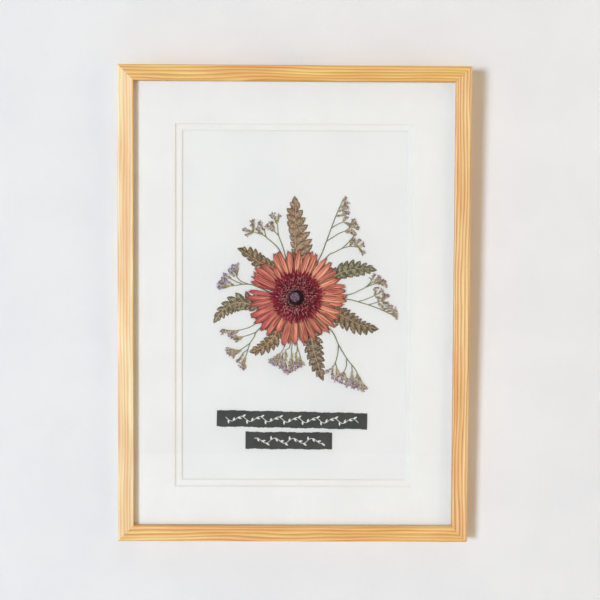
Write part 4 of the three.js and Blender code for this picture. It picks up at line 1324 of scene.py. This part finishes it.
stageSettings = {
    "wallLean": 1.5,  # degrees: the frame's top hangs a little off the wall
    "wallGap": 0.0005,
    "floor": -1.7,
    "size": 8.0,
    "ambient": 0.165,
    "ambientTone": (1.0, 0.875, 0.68, 1),
    "reflected": 0.05,  # what a glossy surface sees of the room
}

# each lamp: its direction from the frame, distance and size in metres, power in watts, colour, spread
lamps = {
    "window": [(-0.5, -0.866, 0.0), 8.0, 2.0, 438.0, (0.76, 0.875, 1.0), 180],
    "behind": [(0.0, 1.0, 0.0), 3.5, 1.2, 7.0, (1.0, 0.96, 0.9), 60],
    "above": [(0.0, -0.4, 0.92), 3.0, 2.5, 16.0, (1.0, 0.875, 0.68), 180],
    "warmFill": [(0.75, -0.6, 0.05), 4.0, 3.0, 42.0, (1.0, 0.72, 0.4), 180],
}


def wallMaterial():
    # white painted plaster with roller texture and a few fine scratches; clear from behind
    material, place, base, _ = matt("wall_paint", 0.85, 90.0, (238, 238, 240), (234, 234, 237))
    scratches = drawnNoise(place, (0.35, 0.03, 0.03), 3).ramp(0.62, 0.7)
    dress(material, base, noise(place, 0.3, 5, 0.7) + scratches * 0.25, 0.3, 0.9)
    return clearWhere(material, node(material.node_tree, "NewGeometry", output="Backfacing"))


def floorMaterial():
    material, _, base, _ = matt("pale_floor", 0.6, 200.0, (232, 231, 229), (226, 225, 223))
    return dress(material, base)


def stagePlane(name, material, location, lean):
    half = stageSettings["size"] / 2
    mesh = bpy.data.meshes.new(name)
    corners = [(-half, 0, -half), (half, 0, -half), (half, 0, half), (-half, 0, half)]
    mesh.from_pydata(corners, [], [(0, 1, 2, 3)])
    plane = bpy.data.objects.new(name, mesh)
    plane.data.materials.append(material)
    bpy.context.scene.collection.objects.link(plane)
    plane.location = location
    plane.rotation_euler = (-math.radians(lean), 0, 0)
    return plane


def setStage():
    s = stageSettings
    low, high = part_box("frame_rail_bottom")
    wall = stagePlane("wall", wallMaterial(), (0, high.y + s["wallGap"], low.z), s["wallLean"])
    wall.visible_shadow = False
    floor = stagePlane("floor", floorMaterial(), (0, high.y - s["size"] / 2, s["floor"]), 90)
    floor.visible_glossy = False  # no pale edge across the glass


def addLamp(name, direction, distance, size, power, tone, spread):
    data = bpy.data.lights.new(name, "AREA")
    data.shape = "DISK"
    data.size, data.energy, data.color, data.spread = size, power, tone, math.radians(spread)
    data.cycles.use_multiple_importance_sampling = False  # or its light counts twice behind the glass
    lamp = bpy.data.objects.new(name, data)
    bpy.context.scene.collection.objects.link(lamp)
    lamp.location = frontMiddle + Vector(direction).normalized() * distance
    lamp.rotation_euler = (frontMiddle - lamp.location).to_track_quat("-Z", "Y").to_euler()


def setLights():
    # the room's even light is weaker for rays that a surface mirrors
    for name, setting in lamps.items():
        addLamp(name, *setting)
    scene, s = bpy.context.scene, stageSettings
    world = bpy.data.worlds.new("studio")
    world.use_nodes = True
    world.cycles.sampling_method = "NONE"
    rays = ("Is Glossy Ray", "Is Reflection Ray")
    glossy, reflected = (node(world.node_tree, "LightPath", output=ray) for ray in rays)
    strength = (glossy * reflected).ramp(0.0, 1.0, s["ambient"], s["reflected"])
    fill(world.node_tree.nodes["Background"], {"Color": s["ambientTone"], "Strength": strength})
    scene.world = world
    scene.view_settings.view_transform = "Standard"
    scene.cycles.blur_glossy = 0.0  # keeps the glass sharp for light that has bounced


cameraSettings = {
    "lens": 82.68,
    "sensor": 36.0,
    "place": (6.3, 5.5, 1397.0),  # from the frame's front, in the camera's own axes
    "pitch": 2.97,
    "yaw": 0.56,
    "roll": -0.29,
}


def setCamera():
    # the camera looks at the frame's front plane; the angles turn the frame in front of it
    s = cameraSettings
    pitch, yaw, roll = (math.radians(s[key]) for key in ("pitch", "yaw", "roll"))
    seen = Matrix.Rotation(roll, 3, "Z") @ Matrix.Rotation(pitch, 3, "X") @ Matrix.Rotation(yaw, 3, "Y")
    upright = Matrix(((1, 0, 0), (0, 0, -1), (0, 1, 0)))  # from X right, Y up, Z to the viewer
    turned = upright @ seen.transposed()
    data = bpy.data.cameras.new("camera")
    data.lens, data.sensor_width, data.sensor_fit = s["lens"], s["sensor"], "HORIZONTAL"
    camera = bpy.data.objects.new("camera", data)
    bpy.context.scene.collection.objects.link(camera)
    camera.matrix_world = Matrix.Translation(frontMiddle + turned @ Vector(s["place"]) * mm) @ turned.to_4x4()
    bpy.context.scene.camera = camera


setStage()
setLights()
setCamera()
print("stage set")
